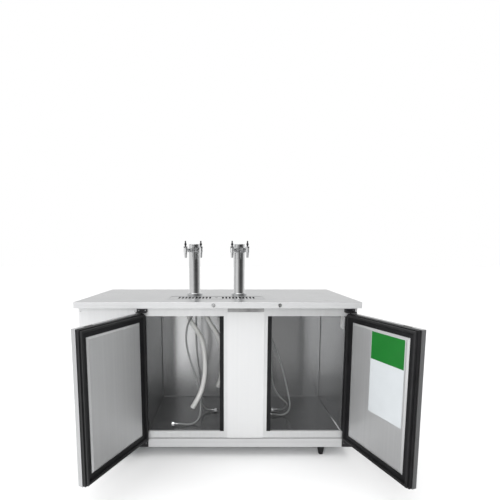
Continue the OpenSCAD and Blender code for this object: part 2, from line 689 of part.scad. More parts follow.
module faucet_lever(k) at_faucet(k) translate([faucet_reach, 0, stop_up]) union() {
    sphere(r = 7.4);
    rod_z(0, 0, 0, 20, 4.5);
    rod_z(0, 0, 14, 27, 7.6);
    rod_z(0, 0, 26, 27 + stud_l, stud_r);
}

module faucet_lever_1() color("dimgray") faucet_lever(0);

module faucet_lever_2() color("dimgray") faucet_lever(1);

module faucet_lever_3() color("dimgray") faucet_lever(2);

module faucet_lever_4() color("dimgray") faucet_lever(3);

module air_ducts() color("gray") for (k = [0, 1]) difference() {
    union() {
        rod_z(duct_x[k], duct_y, throat_z, duct_z + duct_r - 1, duct_r);
        rod_z(duct_x[k], duct_y, throat_z, room_ceiling, duct_r + 4);
        rod_x(duct_x[k], tower_x(k) - throat_r - 1, duct_y, duct_z, duct_r - 0.4);
    }
    rod_z(duct_x[k], duct_y, throat_z - 1, duct_z + 8, duct_r - 3);
    rod_x(duct_x[k], tower_x(k) - throat_r, duct_y, duct_z, duct_r - 3.2);
}

// The free lines and hoses in the keg room
module beer_line_1() color("whitesmoke")
    swept(smooth(placed(route_1, line_start(0)), 3), line_dia / 2, [0, 1, 0], 10);

module beer_line_2() color("whitesmoke")
    swept(smooth(placed(route_2, line_start(1)), 3), line_dia / 2, [0, 1, 0], 10);

module beer_line_3() color("whitesmoke")
    swept(smooth(placed(route_3, line_start(3)), 3), line_dia / 2, [0, 1, 0], 10);

module beer_line_4() color("whitesmoke")
    swept(smooth(placed(route_4, line_start(2)), 3), line_dia / 2, [0, 1, 0], 10);

module air_hose_1() color("white")
    swept(smooth(placed(air_1, duct_start(0)), 3), hose_dia / 2, [0, 1, 0], 12);

module air_hose_2() color("white")
    swept(smooth(placed(air_2, duct_start(1)), 3), hose_dia / 2, [0, 1, 0], 12);

function line_end(route, k) = placed(route, line_start(k))[len(route) - 1];

module line_nut() difference() {
    union() {
        rod_x(0, 30, 0, 0, 6.4);
        rod_x(5, 13, 0, 0, 8.4);
        translate([26, 0, 0]) rotate([0, 90, 0]) cylinder(h = 18, r = 13.6, $fn = 6);
        rod_x(22, 27, 0, 0, 11);
    }
    rod_x(34, 45, 0, 0, 10.6);
    rod_x(-1, 40, 0, 0, 3.6);
}

module line_nuts() color("silver") {
    translate(line_end(route_1, 0)) mirror([1, 0, 0]) line_nut();
    translate(line_end(route_2, 1)) line_nut();
    translate(line_end(route_3, 3)) mirror([1, 0, 0]) line_nut();
    translate(line_end(route_4, 2)) mirror([1, 0, 0]) line_nut();
}

// The cooling unit
module compressor() color("black") {
    translate([bay_x, shell_y, 0]) union() {
        rotate_extrude() polygon(concat([[0, shell_low], [shell_r - shell_foot, shell_low],
            [shell_r, shell_low + shell_foot]],
            [for (p = dome) [shell_r - p[0], shell_high - p[1]]], [[0, shell_high]]));
        block(-shell_plate_w / 2, shell_plate_w / 2, -shell_plate_d / 2, shell_plate_d / 2,
            base_top + mount_h, shell_low);
        rod_x(0, suction_stub, 0, suction_stub_z, 9);
        rod_z(0, discharge_y - shell_y, shell_high - 66, discharge_z, 7);
        block(-36, 36, shell_r - 25, shell_r + 24, shell_low + 64, shell_low + 144);
    }
    translate([bay_x, shell_y, 0]) for (x = [-mount_x, mount_x]) for (y = [-mount_y, mount_y])
        rod_z(x, y, base_top, base_top + mount_h, mount_r);
}

module condenser_coil() color("silver") union() {
    block(bay_x - coil_w / 2, bay_x + coil_w / 2, coil_y, coil_y + coil_d, coil_low, coil_top);
    for (s = [-1, 1]) block(bay_x + s * (coil_w / 2 + 1) - 1.5, bay_x + s * (coil_w / 2 + 1) + 1.5,
        coil_y - 4, coil_y + coil_d + 4, base_top, coil_top + 6);
    rod_z(bay_x + coil_w / 2 - 8, coil_y + coil_d / 2, coil_top - 5, coil_top + 16, 5.5);
    rod_x(bay_x + coil_w / 2 - 5, bay_x + coil_w / 2 + outlet_stub, coil_y + coil_d / 2, outlet_z, 5.5);
}

module fan_shroud() color("dimgray") {
    difference() {
        union() {
            block(bay_x - coil_w / 2 + 1, bay_x + coil_w / 2 - 1, coil_y + coil_d, coil_y + coil_d + 4,
                coil_low, coil_top);
            rod_y(bay_x, coil_y + coil_d + 2, coil_y + coil_d + 22, fan_z, fan_r + 9);
            for (s = [-1, 1]) block(bay_x + s * (fan_r + 16) - 6, bay_x + s * (fan_r + 16) + 6,
                coil_y + coil_d + 2, fan_y + motor_from, fan_z - 8, fan_z + 8);
            block(bay_x - fan_r - 22, bay_x + fan_r + 22, fan_y + motor_from - 4, fan_y + motor_from,
                fan_z - 14, fan_z + 14);
        }
        rod_y(bay_x, coil_y + coil_d - 9, coil_y + coil_d + 30, fan_z, fan_r + 6);
        rod_y(bay_x, fan_y + motor_from - 12, fan_y + motor_from + 8, fan_z, fan_shaft_r + free_clear);
    }
    difference() {
        rod_y(bay_x, fan_y + motor_from, fan_y + motor_from + motor_l, fan_z, 42);
        rod_y(bay_x, fan_y + motor_from - 1, fan_y + fan_shaft_l + 5, fan_z, fan_shaft_r + pin_clear);
    }
}

module spinner(r, hub, shaft, l0, l1) union() {
    rod_y(0, -14, 14, 0, hub);
    rod_y(0, l0, l1, 0, shaft);
    for (a = [0 : 72 : 288]) rotate([0, a, 0]) translate([0, 0, hub - 4]) rotate([0, 0, 28])
        translate([-0.24 * r, -0.8, 0]) cube([0.48 * r, 1.6, r * 0.94 - hub]);
}

module condenser_fan() color("gray") translate([bay_x, fan_y, fan_z]) difference() {
    spinner(fan_r, 26, fan_shaft_r, 0, fan_shaft_l);
    rod_y(0, -20, -13, 0, 2);
}

module refrigerant_lines() color("peru") {
    swept(bent([[wet_x, room_back - 10, suction_z], [wet_x, lines_y, suction_z],
        [bay_right - 44, lines_y, suction_z], [bay_right - 44, lines_y, suction_stub_z],
        [bay_right - 44, shell_y, suction_stub_z], [bay_x + suction_stub, shell_y, suction_stub_z]], 18),
        suction_r, [0.3, 0.5, 0.8], 10);
    swept(bent([[bay_x, discharge_y, discharge_z], [bay_x, discharge_y, coil_top + 46],
        [bay_x + coil_w / 2 - 8, discharge_y, coil_top + 46],
        [bay_x + coil_w / 2 - 8, coil_y + coil_d / 2, coil_top + 46],
        [bay_x + coil_w / 2 - 8, coil_y + coil_d / 2, coil_top + 16]], 14), 5, [0.3, 0.5, 0.8], 10);
    swept(bent([[bay_x + coil_w / 2 + outlet_stub, coil_y + coil_d / 2, outlet_z],
        [bay_right - 18, coil_y + coil_d / 2, outlet_z], [bay_right - 18, -drier_y, outlet_z]], 6),
        liquid_r, [0.3, 0.5, 0.8], 10);
    rod_y(bay_right - 18, -drier_y, drier_y, outlet_z, 13);
    swept(bent([[bay_right - 18, drier_y, outlet_z], [bay_right - 18, lines_y, outlet_z],
        [bay_right - 18, lines_y, liquid_z], [wet_x + 30, lines_y, liquid_z],
        [wet_x + 30, room_back - 10, liquid_z]], 14), liquid_r, [0.3, 0.5, 0.8], 10);
}

module control_box() color("gray") difference() {
    block(knob_x - 50, bay_right - 2, frame_y + frame_t, frame_y + 70, knob_z - 50, knob_z + 50);
    rod_y(knob_x, frame_y, frame_y + 32, knob_z, knob_shaft_r + pin_clear);
}

module thermostat_knob() color("black") translate([knob_x, 0, knob_z]) union() {
    rod_y(0, frame_y - 2, frame_y + 28, 0, knob_shaft_r);
    rod_y(0, frame_y - 16, frame_y - 2, 0, 19);
    block(-2.5, 2.5, frame_y - 19, frame_y - 15, -17, 17);
}

module cord_gland() color("black") difference() {
    union() {
        rod_y(-half_w + 60, body_back - 18, body_back + 14, base_top + 60, 9);
        rod_y(-half_w + 60, body_back, body_back + 5, base_top + 60, 14);
        rod_y(-half_w + 60, body_back - sheet_t - 5, body_back - sheet_t, base_top + 60, 14);
    }
    rod_y(-half_w + 60, body_back - 19, body_back + 15, base_top + 60, 4.5);
}

module evaporator_housing() color("whitesmoke") {
    difference() {
        block(evap_x - evap_w / 2, evap_x + evap_w / 2, evap_y, room_back, evap_z, room_ceiling);
        block(evap_x - evap_w / 2 + 1.5, evap_x + evap_w / 2 - 1.5, evap_y + 1.5, room_back - 1.5,
            evap_z + 1.5, room_ceiling - 1.5);
        rod_y(evap_x, evap_y - 1, evap_y + 5, evap_fan_z, 84);
        for (s = [-1, 1]) block(evap_x + s * 85 - 50, evap_x + s * 85 + 50, room_back - 62, room_back - 18,
            evap_z - 1, evap_z + 5);
        rod_z(evap_x, room_back - 30, evap_z - 1, evap_z + 5, spigot_r - 2);
        rod_y(wet_x, room_back - 9, room_back + 9, suction_z, suction_r + 2);
        rod_y(wet_x + 30, room_back - 9, room_back + 9, liquid_z, liquid_r + 2);
    }
    difference() {
        union() {
            rod_y(evap_x, evap_y + 42, evap_y + 66, evap_fan_z, 30);
            block(evap_x - 12, evap_x + 12, evap_y + 66, evap_y + 69, evap_z + 1.5, room_ceiling - 1.5);
        }
        rod_y(evap_x, evap_y + 41, evap_y + 62, evap_fan_z, 3 + pin_clear);
    }
}

module evaporator_coil() color("silver") union() {
    block(evap_x - evap_w / 2 + 25, evap_x + evap_w / 2 - 25, evap_y + 74, room_back - 10,
        evap_z + 30, room_ceiling - 20);
    for (s = [-1, 1]) block(evap_x + s * (evap_w / 2 - 24) - 1.5, evap_x + s * (evap_w / 2 - 24) + 1.5,
        evap_y + 72, room_back - 8, evap_z + 1.5, room_ceiling - 1.5);
}

module evaporator_fan() color("gray") translate([evap_x, evap_y + 22, evap_fan_z]) difference() {
    spinner(78, 20, 3, 0, 38);
    rod_y(0, -20, -13, 0, 2);
}

// The doors, made closed in their own frame and swung open where they stand
module hung_left() {
    translate([hinge_x_l, hinge_y, 0]) rotate([0, 0, -left_open]) children();
}

module hung_right() {
    translate([hinge_x_r, hinge_y, 0]) mirror([1, 0, 0]) rotate([0, 0, -right_open]) children();
}

module pull_space(grow) {
    translate([door_far - 62 - grow, skin_v - 1, (door_z + door_top) / 2 - pull_h / 2 - grow])
        cube([34 + 2 * grow, 17 + grow, pull_h + 2 * grow]);
}

module strike_space() {
    block(lock_u - 46, lock_u + 12, hinge_lock_v() - 5, hinge_lock_v() + cam_t + 5,
        door_top - 12, door_top + 1);
}

function hinge_lock_v() = lock_y - hinge_y;

module door_skin() difference() {
    union() {
        difference() {
            block(-door_edge, door_far, skin_v, ring_v, door_z, door_top);
            block(-door_edge + skin_t, door_far - skin_t, skin_v + skin_t, ring_v - skin_t,
                door_z + skin_t, door_top - skin_t);
            block(-door_edge + lip, door_far - lip, ring_v - 5, ring_v + 5, door_z + lip, door_top - lip);
        }
        intersection() {
            pull_space(skin_t);
            block(-door_edge, door_far, skin_v, ring_v - skin_t, door_z, door_top);
        }
    }
    pull_space(0);
    strike_space();
}

module door_core() difference() {
    union() {
        block(-door_edge + skin_t, door_far - skin_t, skin_v + skin_t, ring_v - skin_t,
            door_z + skin_t, door_top - skin_t);
        block(-door_edge + lip + 1, door_far - lip - 1, ring_v - 4, ring_v,
            door_z + lip + 1, door_top - lip - 1);
        block(pan_u0() + 2, pan_u1() - 2, ring_v - 4, gasket_v - 4, pan_z0() + 2, pan_z1() - 2);
    }
    pull_space(skin_t);
    strike_space();
}

function pan_u0() = -door_edge + ring_in + ring_w;
function pan_u1() = door_far - ring_in - ring_w;
function pan_z0() = door_z + ring_in + ring_w;
function pan_z1() = door_top - ring_in - ring_w;

module door_ring() difference() {
    block(-door_edge + ring_in, door_far - ring_in, ring_v, gasket_v, door_z + ring_in, door_top - ring_in);
    block(pan_u0(), pan_u1(), ring_v - 1, gasket_v + 1, pan_z0(), pan_z1());
    rod_z(0, 0, door_top - 26, door_top + 1, hinge_pin_r + pin_clear);
    rod_z(0, 0, door_z - 1, door_z + 28, hinge_pin_r + pin_clear);
}

module pan_form(t) hull() {
    block(pan_u0() + 0.3 + t, pan_u1() - 0.3 - t, ring_v, gasket_v - 3,
        pan_z0() + 0.3 + t, pan_z1() - 0.3 - t);
    block(pan_u0() + 12, pan_u1() - 12, gasket_v - 3, gasket_v + 4 - t, pan_z0() + 12, pan_z1() - 12);
}

module door_pan() difference() {
    pan_form(0);
    block(pan_u0() + 1.5, pan_u1() - 1.5, ring_v - 1, gasket_v - 4, pan_z0() + 1.5, pan_z1() - 1.5);
}

module door_gasket() difference() {
    block(-door_edge + lip, door_far - lip, gasket_v, gasket_v + gasket_t, door_z + lip, door_top - lip);
    block(-door_edge + lip + gasket_w, door_far - lip - gasket_w, gasket_v - 1, gasket_v + gasket_t + 1,
        door_z + lip + gasket_w, door_top - lip - gasket_w);
}

module door_skin_left() color("gainsboro") hung_left() door_skin();

module door_core_left() color("khaki") hung_left() door_core();

module door_ring_left() color("black") hung_left() door_ring();

module door_pan_left() color("silver") hung_left() door_pan();

module door_gasket_left() color("dimgray") hung_left() door_gasket();

module door_skin_right() color("gainsboro") hung_right() door_skin();

module door_core_right() color("khaki") hung_right() door_core();

module door_ring_right() color("black") hung_right() door_ring();

module door_pan_right() color("silver") hung_right() door_pan();

module door_gasket_right() color("dimgray") hung_right() door_gasket();

base_pan();
base_rail();
body_panels();
back_panel();
insulation();
liner();
face_frame();
breaker_posts();
post_cover();
machine_panel();
counter_top();
drip_tray();
drip_grate();
drain_tubes();
feet();
hinge_brackets();
lock_barrels();
lock_plug_left();
lock_plug_right();
tower_columns();
tower_caps();
flange_screws();
tower_throats();
tower_risers();
faucet_shanks();
shank_nuts();
faucet_bodies();
faucet_lever_1();
faucet_lever_2();
faucet_lever_3();
faucet_lever_4();
air_ducts();
beer_line_1();
beer_line_2();
beer_line_3();
beer_line_4();
air_hose_1();
air_hose_2();
line_nuts();
compressor();
condenser_coil();
fan_shroud();
condenser_fan();
refrigerant_lines();
control_box();
thermostat_knob();
cord_gland();
evaporator_housing();
evaporator_coil();
evaporator_fan();
door_skin_left();
door_core_left();
door_ring_left();
door_pan_left();
door_gasket_left();
door_skin_right();
door_core_right();
door_ring_right();
door_pan_right();
door_gasket_right();
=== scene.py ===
"""The keg cooler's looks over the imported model: hoses, seals, fasteners, fins, finishes and a studio."""

import math
from itertools import product

import bmesh
import bpy
from mathutils import Matrix, Vector


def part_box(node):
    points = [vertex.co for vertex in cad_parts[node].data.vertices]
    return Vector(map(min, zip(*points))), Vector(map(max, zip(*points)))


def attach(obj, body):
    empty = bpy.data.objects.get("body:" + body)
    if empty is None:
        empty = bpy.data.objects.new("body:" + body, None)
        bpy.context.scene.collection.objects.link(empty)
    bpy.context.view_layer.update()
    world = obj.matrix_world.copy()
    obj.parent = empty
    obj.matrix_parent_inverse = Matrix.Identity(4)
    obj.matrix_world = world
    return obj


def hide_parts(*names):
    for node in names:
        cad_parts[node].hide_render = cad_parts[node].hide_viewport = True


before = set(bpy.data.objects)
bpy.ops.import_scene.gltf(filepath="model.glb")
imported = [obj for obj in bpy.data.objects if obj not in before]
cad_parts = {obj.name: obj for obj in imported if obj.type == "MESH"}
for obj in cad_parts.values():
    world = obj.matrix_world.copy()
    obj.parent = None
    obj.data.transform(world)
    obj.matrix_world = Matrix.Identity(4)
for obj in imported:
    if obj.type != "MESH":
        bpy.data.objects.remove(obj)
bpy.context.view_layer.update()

# Sizes shared by many pieces, in metres
COUNTER_Z = 1.021
COUNTER_HALF_X = 0.861
COUNTER_HALF_Y = 0.380
FRAME_Y = -0.310
ROOM_FLOOR = 0.1552
ROOM_CEILING = 0.930
ROOM_LEFT = -0.456
ROOM_RIGHT = 0.800
ROOM_BACK = 0.3106
ROOM_COVE = 0.005
TRAY_EDGE = 0.0003
BACK_FACE = 0.377
TOWER_X = (-0.1645, 0.1405)
TOWER_Y = -0.025
TOWER_RADIUS = 0.0381
TOWER_HEIGHT = 0.350
SHANK_Z = COUNTER_Z + 0.309
FAUCET_TURN = math.radians(26.6)
FAUCET_REACH = 0.112
COUPLING_REACH = 0.059
LEVER_UP = 0.017
LINE_RADIUS = 0.00635
HOSE_RADIUS = 0.016
BAY_X = -0.6852

# Places closer than this are taken as one
NEAR = 1e-4

# The doors' hinge lines, open angles and layers: u away from the hinge, v towards the cabinet
HINGE_Y = -0.336
HINGE_X = {"left": -0.463, "right": 0.807}
OPEN_ANGLE = {"left": math.radians(114.3), "right": math.radians(109.6)}
DOOR_EDGE = -0.012
DOOR_FAR = 0.511
DOOR_LOW = 0.131
DOOR_TOP = 0.947
SKIN_V = -0.0337
GASKET_V = 0.012
GASKET_INSET = 0.008
PAN_V = 0.016

# The free lines, in millimetres: X and Y from where each leaves the ceiling, and the height above the ground,
# drawn for a keg room that has its floor and its height, in metres, at these two values
DRAWN_FLOOR = 0.155
DRAWN_HEIGHT = 0.775
ROUTES = {
    "beer_line_1": [
        (0, 0, 925), (0, 0, 908), (-4, -4, 890), (-15, -12, 868), (-30, -21, 844), (-42, -30, 814),
        (-48, -38, 775), (-50, -45, 730), (-46, -52, 680), (-28, -60, 604), (-1, -68, 516), (25, -74, 439),
        (42, -83, 358), (50, -92, 280), (49, -102, 224), (39, -114, 190), (17, -127, 168),
        (-13, -139, 162), (-44, -149, 165), (-69, -152, 170), (-83, -152, 171), (-97, -152, 171),
    ],
    "beer_line_2": [
        (0, 0, 925), (0, 0, 906), (0, 3, 882), (-1, 14, 850), (-2, 28, 816), (-3, 38, 780), (-4, 44, 742),
        (-4, 48, 700), (1, 54, 592), (11, 60, 505), (21, 64, 430), (27, 67, 365), (29, 68, 312),
        (29, 68, 268), (29, 68, 231), (34, 68, 203), (48, 67, 184), (66, 67, 174), (82, 67, 171),
        (96, 67, 171),
    ],
    "beer_line_3": [
        (0, 0, 925), (0, 0, 906), (2, 0, 884), (13, -2, 856), (42, -7, 821), (90, -11, 792),
        (146, -14, 772), (194, -17, 750), (224, -18, 712), (250, -18, 640), (280, -18, 560),
        (308, -14, 461), (336, -10, 345), (354, -6, 266), (356, -3, 220), (346, 0, 188), (324, 1, 169),
        (296, -1, 162), (270, -4, 166), (248, -6, 171), (236, -6, 171), (226, -6, 171),
    ],
    "beer_line_4": [
        (0, 0, 925), (0, 0, 906), (2, 0, 883), (12, 2, 851), (42, 6, 808), (96, 8, 768), (158, 4, 736),
        (206, -2, 704), (232, -5, 655), (238, -1, 595), (238, 2, 528), (242, 6, 440), (250, 5, 386),
        (267, 2, 341), (296, 4, 300), (329, 12, 267), (352, 24, 243), (361, 37, 223), (359, 50, 204),
        (347, 62, 187), (329, 69, 176), (309, 72, 171), (294, 72, 171),
    ],
    "air_hose_1": [
        (0, 0, 925), (0, 0, 913), (2, 0, 895), (8, -1, 872), (20, -3, 845), (37, -8, 817), (60, -16, 784),
        (84, -28, 749), (103, -42, 710), (114, -56, 661), (121, -70, 599), (124, -84, 540),
        (122, -102, 487), (114, -120, 436), (99, -130, 384), (78, -133, 337), (53, -131, 293),
        (40, -129, 271),
    ],
    "air_hose_2": [
        (0, 0, 925), (0, 0, 913), (2, 0, 895), (8, -1, 872), (20, -3, 845), (37, -6, 817), (60, -9, 784),
        (84, -12, 744), (102, -14, 698), (112, -14, 643), (117, -10, 565), (116, -4, 500), (109, 2, 445),
        (97, 8, 398), (83, 12, 365),
    ],
}
RISER_REACH = 0.019
RISER_OUT = (RISER_REACH * math.sin(FAUCET_TURN), -RISER_REACH * math.cos(FAUCET_TURN))
STARTS = {
    "beer_line_1": (TOWER_X[0] - RISER_OUT[0], TOWER_Y + RISER_OUT[1]),
    "beer_line_2": (TOWER_X[0] + RISER_OUT[0], TOWER_Y + RISER_OUT[1]),
    "beer_line_3": (TOWER_X[1] + RISER_OUT[0], TOWER_Y + RISER_OUT[1]),
    "beer_line_4": (TOWER_X[1] - RISER_OUT[0], TOWER_Y + RISER_OUT[1]),
    "air_hose_1": (-0.216, -0.030),
    "air_hose_2": (-0.091, -0.030),
}
NUT_WAY = {"beer_line_1": -1, "beer_line_2": 1, "beer_line_3": -1, "beer_line_4": -1}


# Camera
def place_camera():
    """The photograph's view: a wide lens a little above the counter, looking slightly down."""
    data = bpy.data.cameras.new("Camera")
    data.sensor_width = 36.0
    data.lens = 26.0
    data.shift_x = 0.0499
    data.shift_y = 0.0874
    data.clip_end = 200.0
    camera = bpy.data.objects.new("Camera", data)
    camera.location = (0.04385, -2.5065, 1.31525)
    camera.rotation_euler = (math.radians(90 - 6.52), 0, 0)
    bpy.context.collection.objects.link(camera)
    bpy.context.scene.camera = camera


# Shader groups and materials
def shader_group(name, inputs, outputs):
    """A new shader group with named inputs (name, socket type, default) and float outputs."""
    tree = bpy.data.node_groups.new(name, "ShaderNodeTree")
    for label, kind, default in inputs:
        socket = tree.interface.new_socket(name=label, in_out="INPUT", socket_type=kind)
        socket.default_value = default
    for label in outputs:
        tree.interface.new_socket(name=label, in_out="OUTPUT", socket_type="NodeSocketFloat")
    return tree, tree.nodes.new("NodeGroupInput"), tree.nodes.new("NodeGroupOutput")


def make_brushed_group():
    """Fine streaks along one direction, over broader streaks: the grain of brushed sheet."""
    tree, given, made = shader_group(
        "Brushed grain",
        [("Fine Stretch", "NodeSocketVector", (8.0, 900.0, 900.0)),
         ("Broad Stretch", "NodeSocketVector", (1.5, 90.0, 90.0))],
        ["Fine", "Broad"],
    )
    place = tree.nodes.new("ShaderNodeTexCoord")
    for label in ("Fine", "Broad"):
        stretch = tree.nodes.new("ShaderNodeVectorMath")
        stretch.operation = "MULTIPLY"
        noise = tree.nodes.new("ShaderNodeTexNoise")
        noise.inputs["Scale"].default_value = 1.0
        noise.inputs["Detail"].default_value = 3.0
        tree.links.new(place.outputs["Object"], stretch.inputs[0])
        tree.links.new(given.outputs[label + " Stretch"], stretch.inputs[1])
        tree.links.new(stretch.outputs["Vector"], noise.inputs["Vector"])
        tree.links.new(noise.outputs["Fac"], made.inputs[label])
    return tree


def make_smudge_group():
    """Soft blotches where a surface was wiped and handled."""
    tree, given, made = shader_group("Wiped blotches", [("Scale", "NodeSocketFloat", 5.0)], ["Blotch"])
    place = tree.nodes.new("ShaderNodeTexCoord")
    noise = tree.nodes.new("ShaderNodeTexNoise")
    noise.inputs["Detail"].default_value = 4.0
    noise.inputs["Distortion"].default_value = 0.6
    tree.links.new(place.outputs["Object"], noise.inputs["Vector"])
    tree.links.new(given.outputs["Scale"], noise.inputs["Scale"])
    tree.links.new(noise.outputs["Fac"], made.inputs["Blotch"])
    return tree


def make_pebble_group():
    """The small pebbles of moulded plastic, rubber and paint, with a broader unevenness."""
    tree, given, made = shader_group(
        "Moulded pebble", [("Scale", "NodeSocketFloat", 900.0)], ["Pebble", "Uneven"])
    place = tree.nodes.new("ShaderNodeTexCoord")
    pebble = tree.nodes.new("ShaderNodeTexVoronoi")
    uneven = tree.nodes.new("ShaderNodeTexNoise")
    uneven.inputs["Scale"].default_value = 14.0
    uneven.inputs["Detail"].default_value = 3.0
    tree.links.new(place.outputs["Object"], pebble.inputs["Vector"])
    tree.links.new(place.outputs["Object"], uneven.inputs["Vector"])
    tree.links.new(given.outputs["Scale"], pebble.inputs["Scale"])
    tree.links.new(pebble.outputs["Distance"], made.inputs["Pebble"])
    tree.links.new(uneven.outputs["Fac"], made.inputs["Uneven"])
    return tree


BRUSHED = make_brushed_group()
SMUDGE = make_smudge_group()
PEBBLE = make_pebble_group()

# Stretches of the fine and the broad streaks, for each way that the grain runs
ALONG_X = ((8.0, 900.0, 900.0), (1.2, 70.0, 70.0))
ALONG_Z = ((900.0, 900.0, 8.0), (70.0, 70.0, 1.2))
ALL_WAYS = ((60.0, 60.0, 60.0), (25.0, 25.0, 25.0))

# Depths of the bumps in metres, and the share that wiping has in a sheet's uneven gloss
GRAIN_DEPTH = 0.0002
PEBBLE_DEPTH = 0.0003
RIB_DEPTH = 0.0008
WIPED_SHARE = 0.55


def new_material(name):
    """A material with its own Principled shader: returns the material, its tree and the shader."""
    material = bpy.data.materials.new(name)
    material.use_nodes = True
    tree = material.node_tree
    return material, tree, tree.nodes["Principled BSDF"]


def group_node(tree, group):
    """Places a shader group in a material."""
    node = tree.nodes.new("ShaderNodeGroup")
    node.node_tree = group
    return node


def spread(tree, value, low, high):
    """Maps a 0.3 to 0.7 noise value to a range."""
    node = tree.nodes.new("ShaderNodeMapRange")
    node.inputs["From Min"].default_value = 0.3
    node.inputs["From Max"].default_value = 0.7
    node.inputs["To Min"].default_value = low
    node.inputs["To Max"].default_value = high
    tree.links.new(value, node.inputs["Value"])
    return node.outputs["Result"]


def between(tree, value, first, second):
    """A colour between two, chosen by a noise value."""
    node = tree.nodes.new("ShaderNodeMix")
    node.data_type = "RGBA"
    node.inputs["A"].default_value = (*first, 1.0)
    node.inputs["B"].default_value = (*second, 1.0)
    tree.links.new(spread(tree, value, 0.0, 1.0), node.inputs["Factor"])
    return node.outputs["Result"]


def raise_bump(tree, shader, height, strength, distance):
    """Feeds a height into the shader's normal."""
    bump = tree.nodes.new("ShaderNodeBump")
    bump.inputs["Strength"].default_value = strength
    bump.inputs["Distance"].default_value = distance
    tree.links.new(height, bump.inputs["Height"])
    tree.links.new(bump.outputs["Normal"], shader.inputs["Normal"])


def brushed_metal(name, tone, rough, grain, contrast=0.015, bump=0.05, blotch=6.0, metal=1.0, vary=1.0,
                  stretch=0.0):
    """Brushed sheet: streaked tone and roughness along the grain, with wiped blotches.

    On upright walls, stretch draws reflections out up and down.
    """
    material, tree, shader = new_material(name)
    shader.inputs["Metallic"].default_value = metal
    shader.inputs["Anisotropic"].default_value = stretch
    shader.inputs["Anisotropic Rotation"].default_value = 0.25
    streaks = group_node(tree, BRUSHED)
    streaks.inputs["Fine Stretch"].default_value = grain[0]
    streaks.inputs["Broad Stretch"].default_value = grain[1]
    wiped = group_node(tree, SMUDGE)
    wiped.inputs["Scale"].default_value = blotch
    dark = tuple(max(0.0, c - contrast) for c in tone)
    light = tuple(min(1.0, c + contrast) for c in tone)
    tree.links.new(between(tree, streaks.outputs["Broad"], dark, light), shader.inputs["Base Color"])
    mixed = tree.nodes.new("ShaderNodeMath")
    mixed.operation = "MULTIPLY_ADD"
    mixed.inputs[1].default_value = WIPED_SHARE
    tree.links.new(wiped.outputs["Blotch"], mixed.inputs[0])
    rest = tree.nodes.new("ShaderNodeMath")
    rest.operation = "MULTIPLY"
    rest.inputs[1].default_value = 1.0 - WIPED_SHARE
    tree.links.new(streaks.outputs["Fine"], rest.inputs[0])
    tree.links.new(rest.outputs["Value"], mixed.inputs[2])
    uneven = spread(tree, mixed.outputs["Value"], rough - 0.05 * vary, rough + 0.07 * vary)
    tree.links.new(uneven, shader.inputs["Roughness"])
    raise_bump(tree, shader, streaks.outputs["Fine"], bump, GRAIN_DEPTH)
    return material


def polished_metal(name, tone, rough, blotch=30.0):
    """Bright plated metal with faint wiping marks."""
    material, tree, shader = new_material(name)
    shader.inputs["Metallic"].default_value = 1.0
    wiped = group_node(tree, SMUDGE)
    wiped.inputs["Scale"].default_value = blotch
    dark = tuple(c * 0.93 for c in tone)
    tree.links.new(between(tree, wiped.outputs["Blotch"], dark, tone), shader.inputs["Base Color"])
    uneven = spread(tree, wiped.outputs["Blotch"], rough * 0.7, rough * 1.5)
    tree.links.new(uneven, shader.inputs["Roughness"])
    return material


def moulded(name, tone, rough, scale=900.0, bump=0.15, metallic=0.0, change=0.25, coat=0.0, gloss=0.5):
    """Moulded plastic, rubber, foam or paint: pebbled, with a slightly uneven tone and gloss."""
    material, tree, shader = new_material(name)
    shader.inputs["Metallic"].default_value = metallic
    shader.inputs["Coat Weight"].default_value = coat
    shader.inputs["Specular IOR Level"].default_value = gloss
    pebble = group_node(tree, PEBBLE)
    pebble.inputs["Scale"].default_value = scale
    dark = tuple(c * (1.0 - change) for c in tone)
    light = tuple(min(1.0, c * (1.0 + change)) for c in tone)
    tree.links.new(between(tree, pebble.outputs["Uneven"], dark, light), shader.inputs["Base Color"])
    uneven = spread(tree, pebble.outputs["Uneven"], rough - 0.06, rough + 0.08)
    tree.links.new(uneven, shader.inputs["Roughness"])
    raise_bump(tree, shader, pebble.outputs["Pebble"], bump, PEBBLE_DEPTH)
    return material


def hose_wall(name, tone, rough, ribs, bump, clear):
    """Hose wall: slightly clouded plastic, with ribs that follow the hose's own map along its length."""
    material, tree, shader = new_material(name)
    shader.inputs["Transmission Weight"].default_value = clear
    shader.inputs["IOR"].default_value = 1.4
    cloud = group_node(tree, PEBBLE)
    cloud.inputs["Scale"].default_value = 500.0
    dark = tuple(c * 0.88 for c in tone)
    tree.links.new(between(tree, cloud.outputs["Uneven"], dark, tone), shader.inputs["Base Color"])
    uneven = spread(tree, cloud.outputs["Uneven"], rough - 0.04, rough + 0.06)
    tree.links.new(uneven, shader.inputs["Roughness"])
    unwrapped = tree.nodes.new("ShaderNodeUVMap")
    unwrapped.uv_map = "along"
    wave = tree.nodes.new("ShaderNodeTexWave")
    wave.bands_direction = "Y"
    wave.inputs["Scale"].default_value = ribs
    tree.links.new(unwrapped.outputs["UV"], wave.inputs["Vector"])
    raise_bump(tree, shader, wave.outputs["Fac"], bump, RIB_DEPTH)
    return material


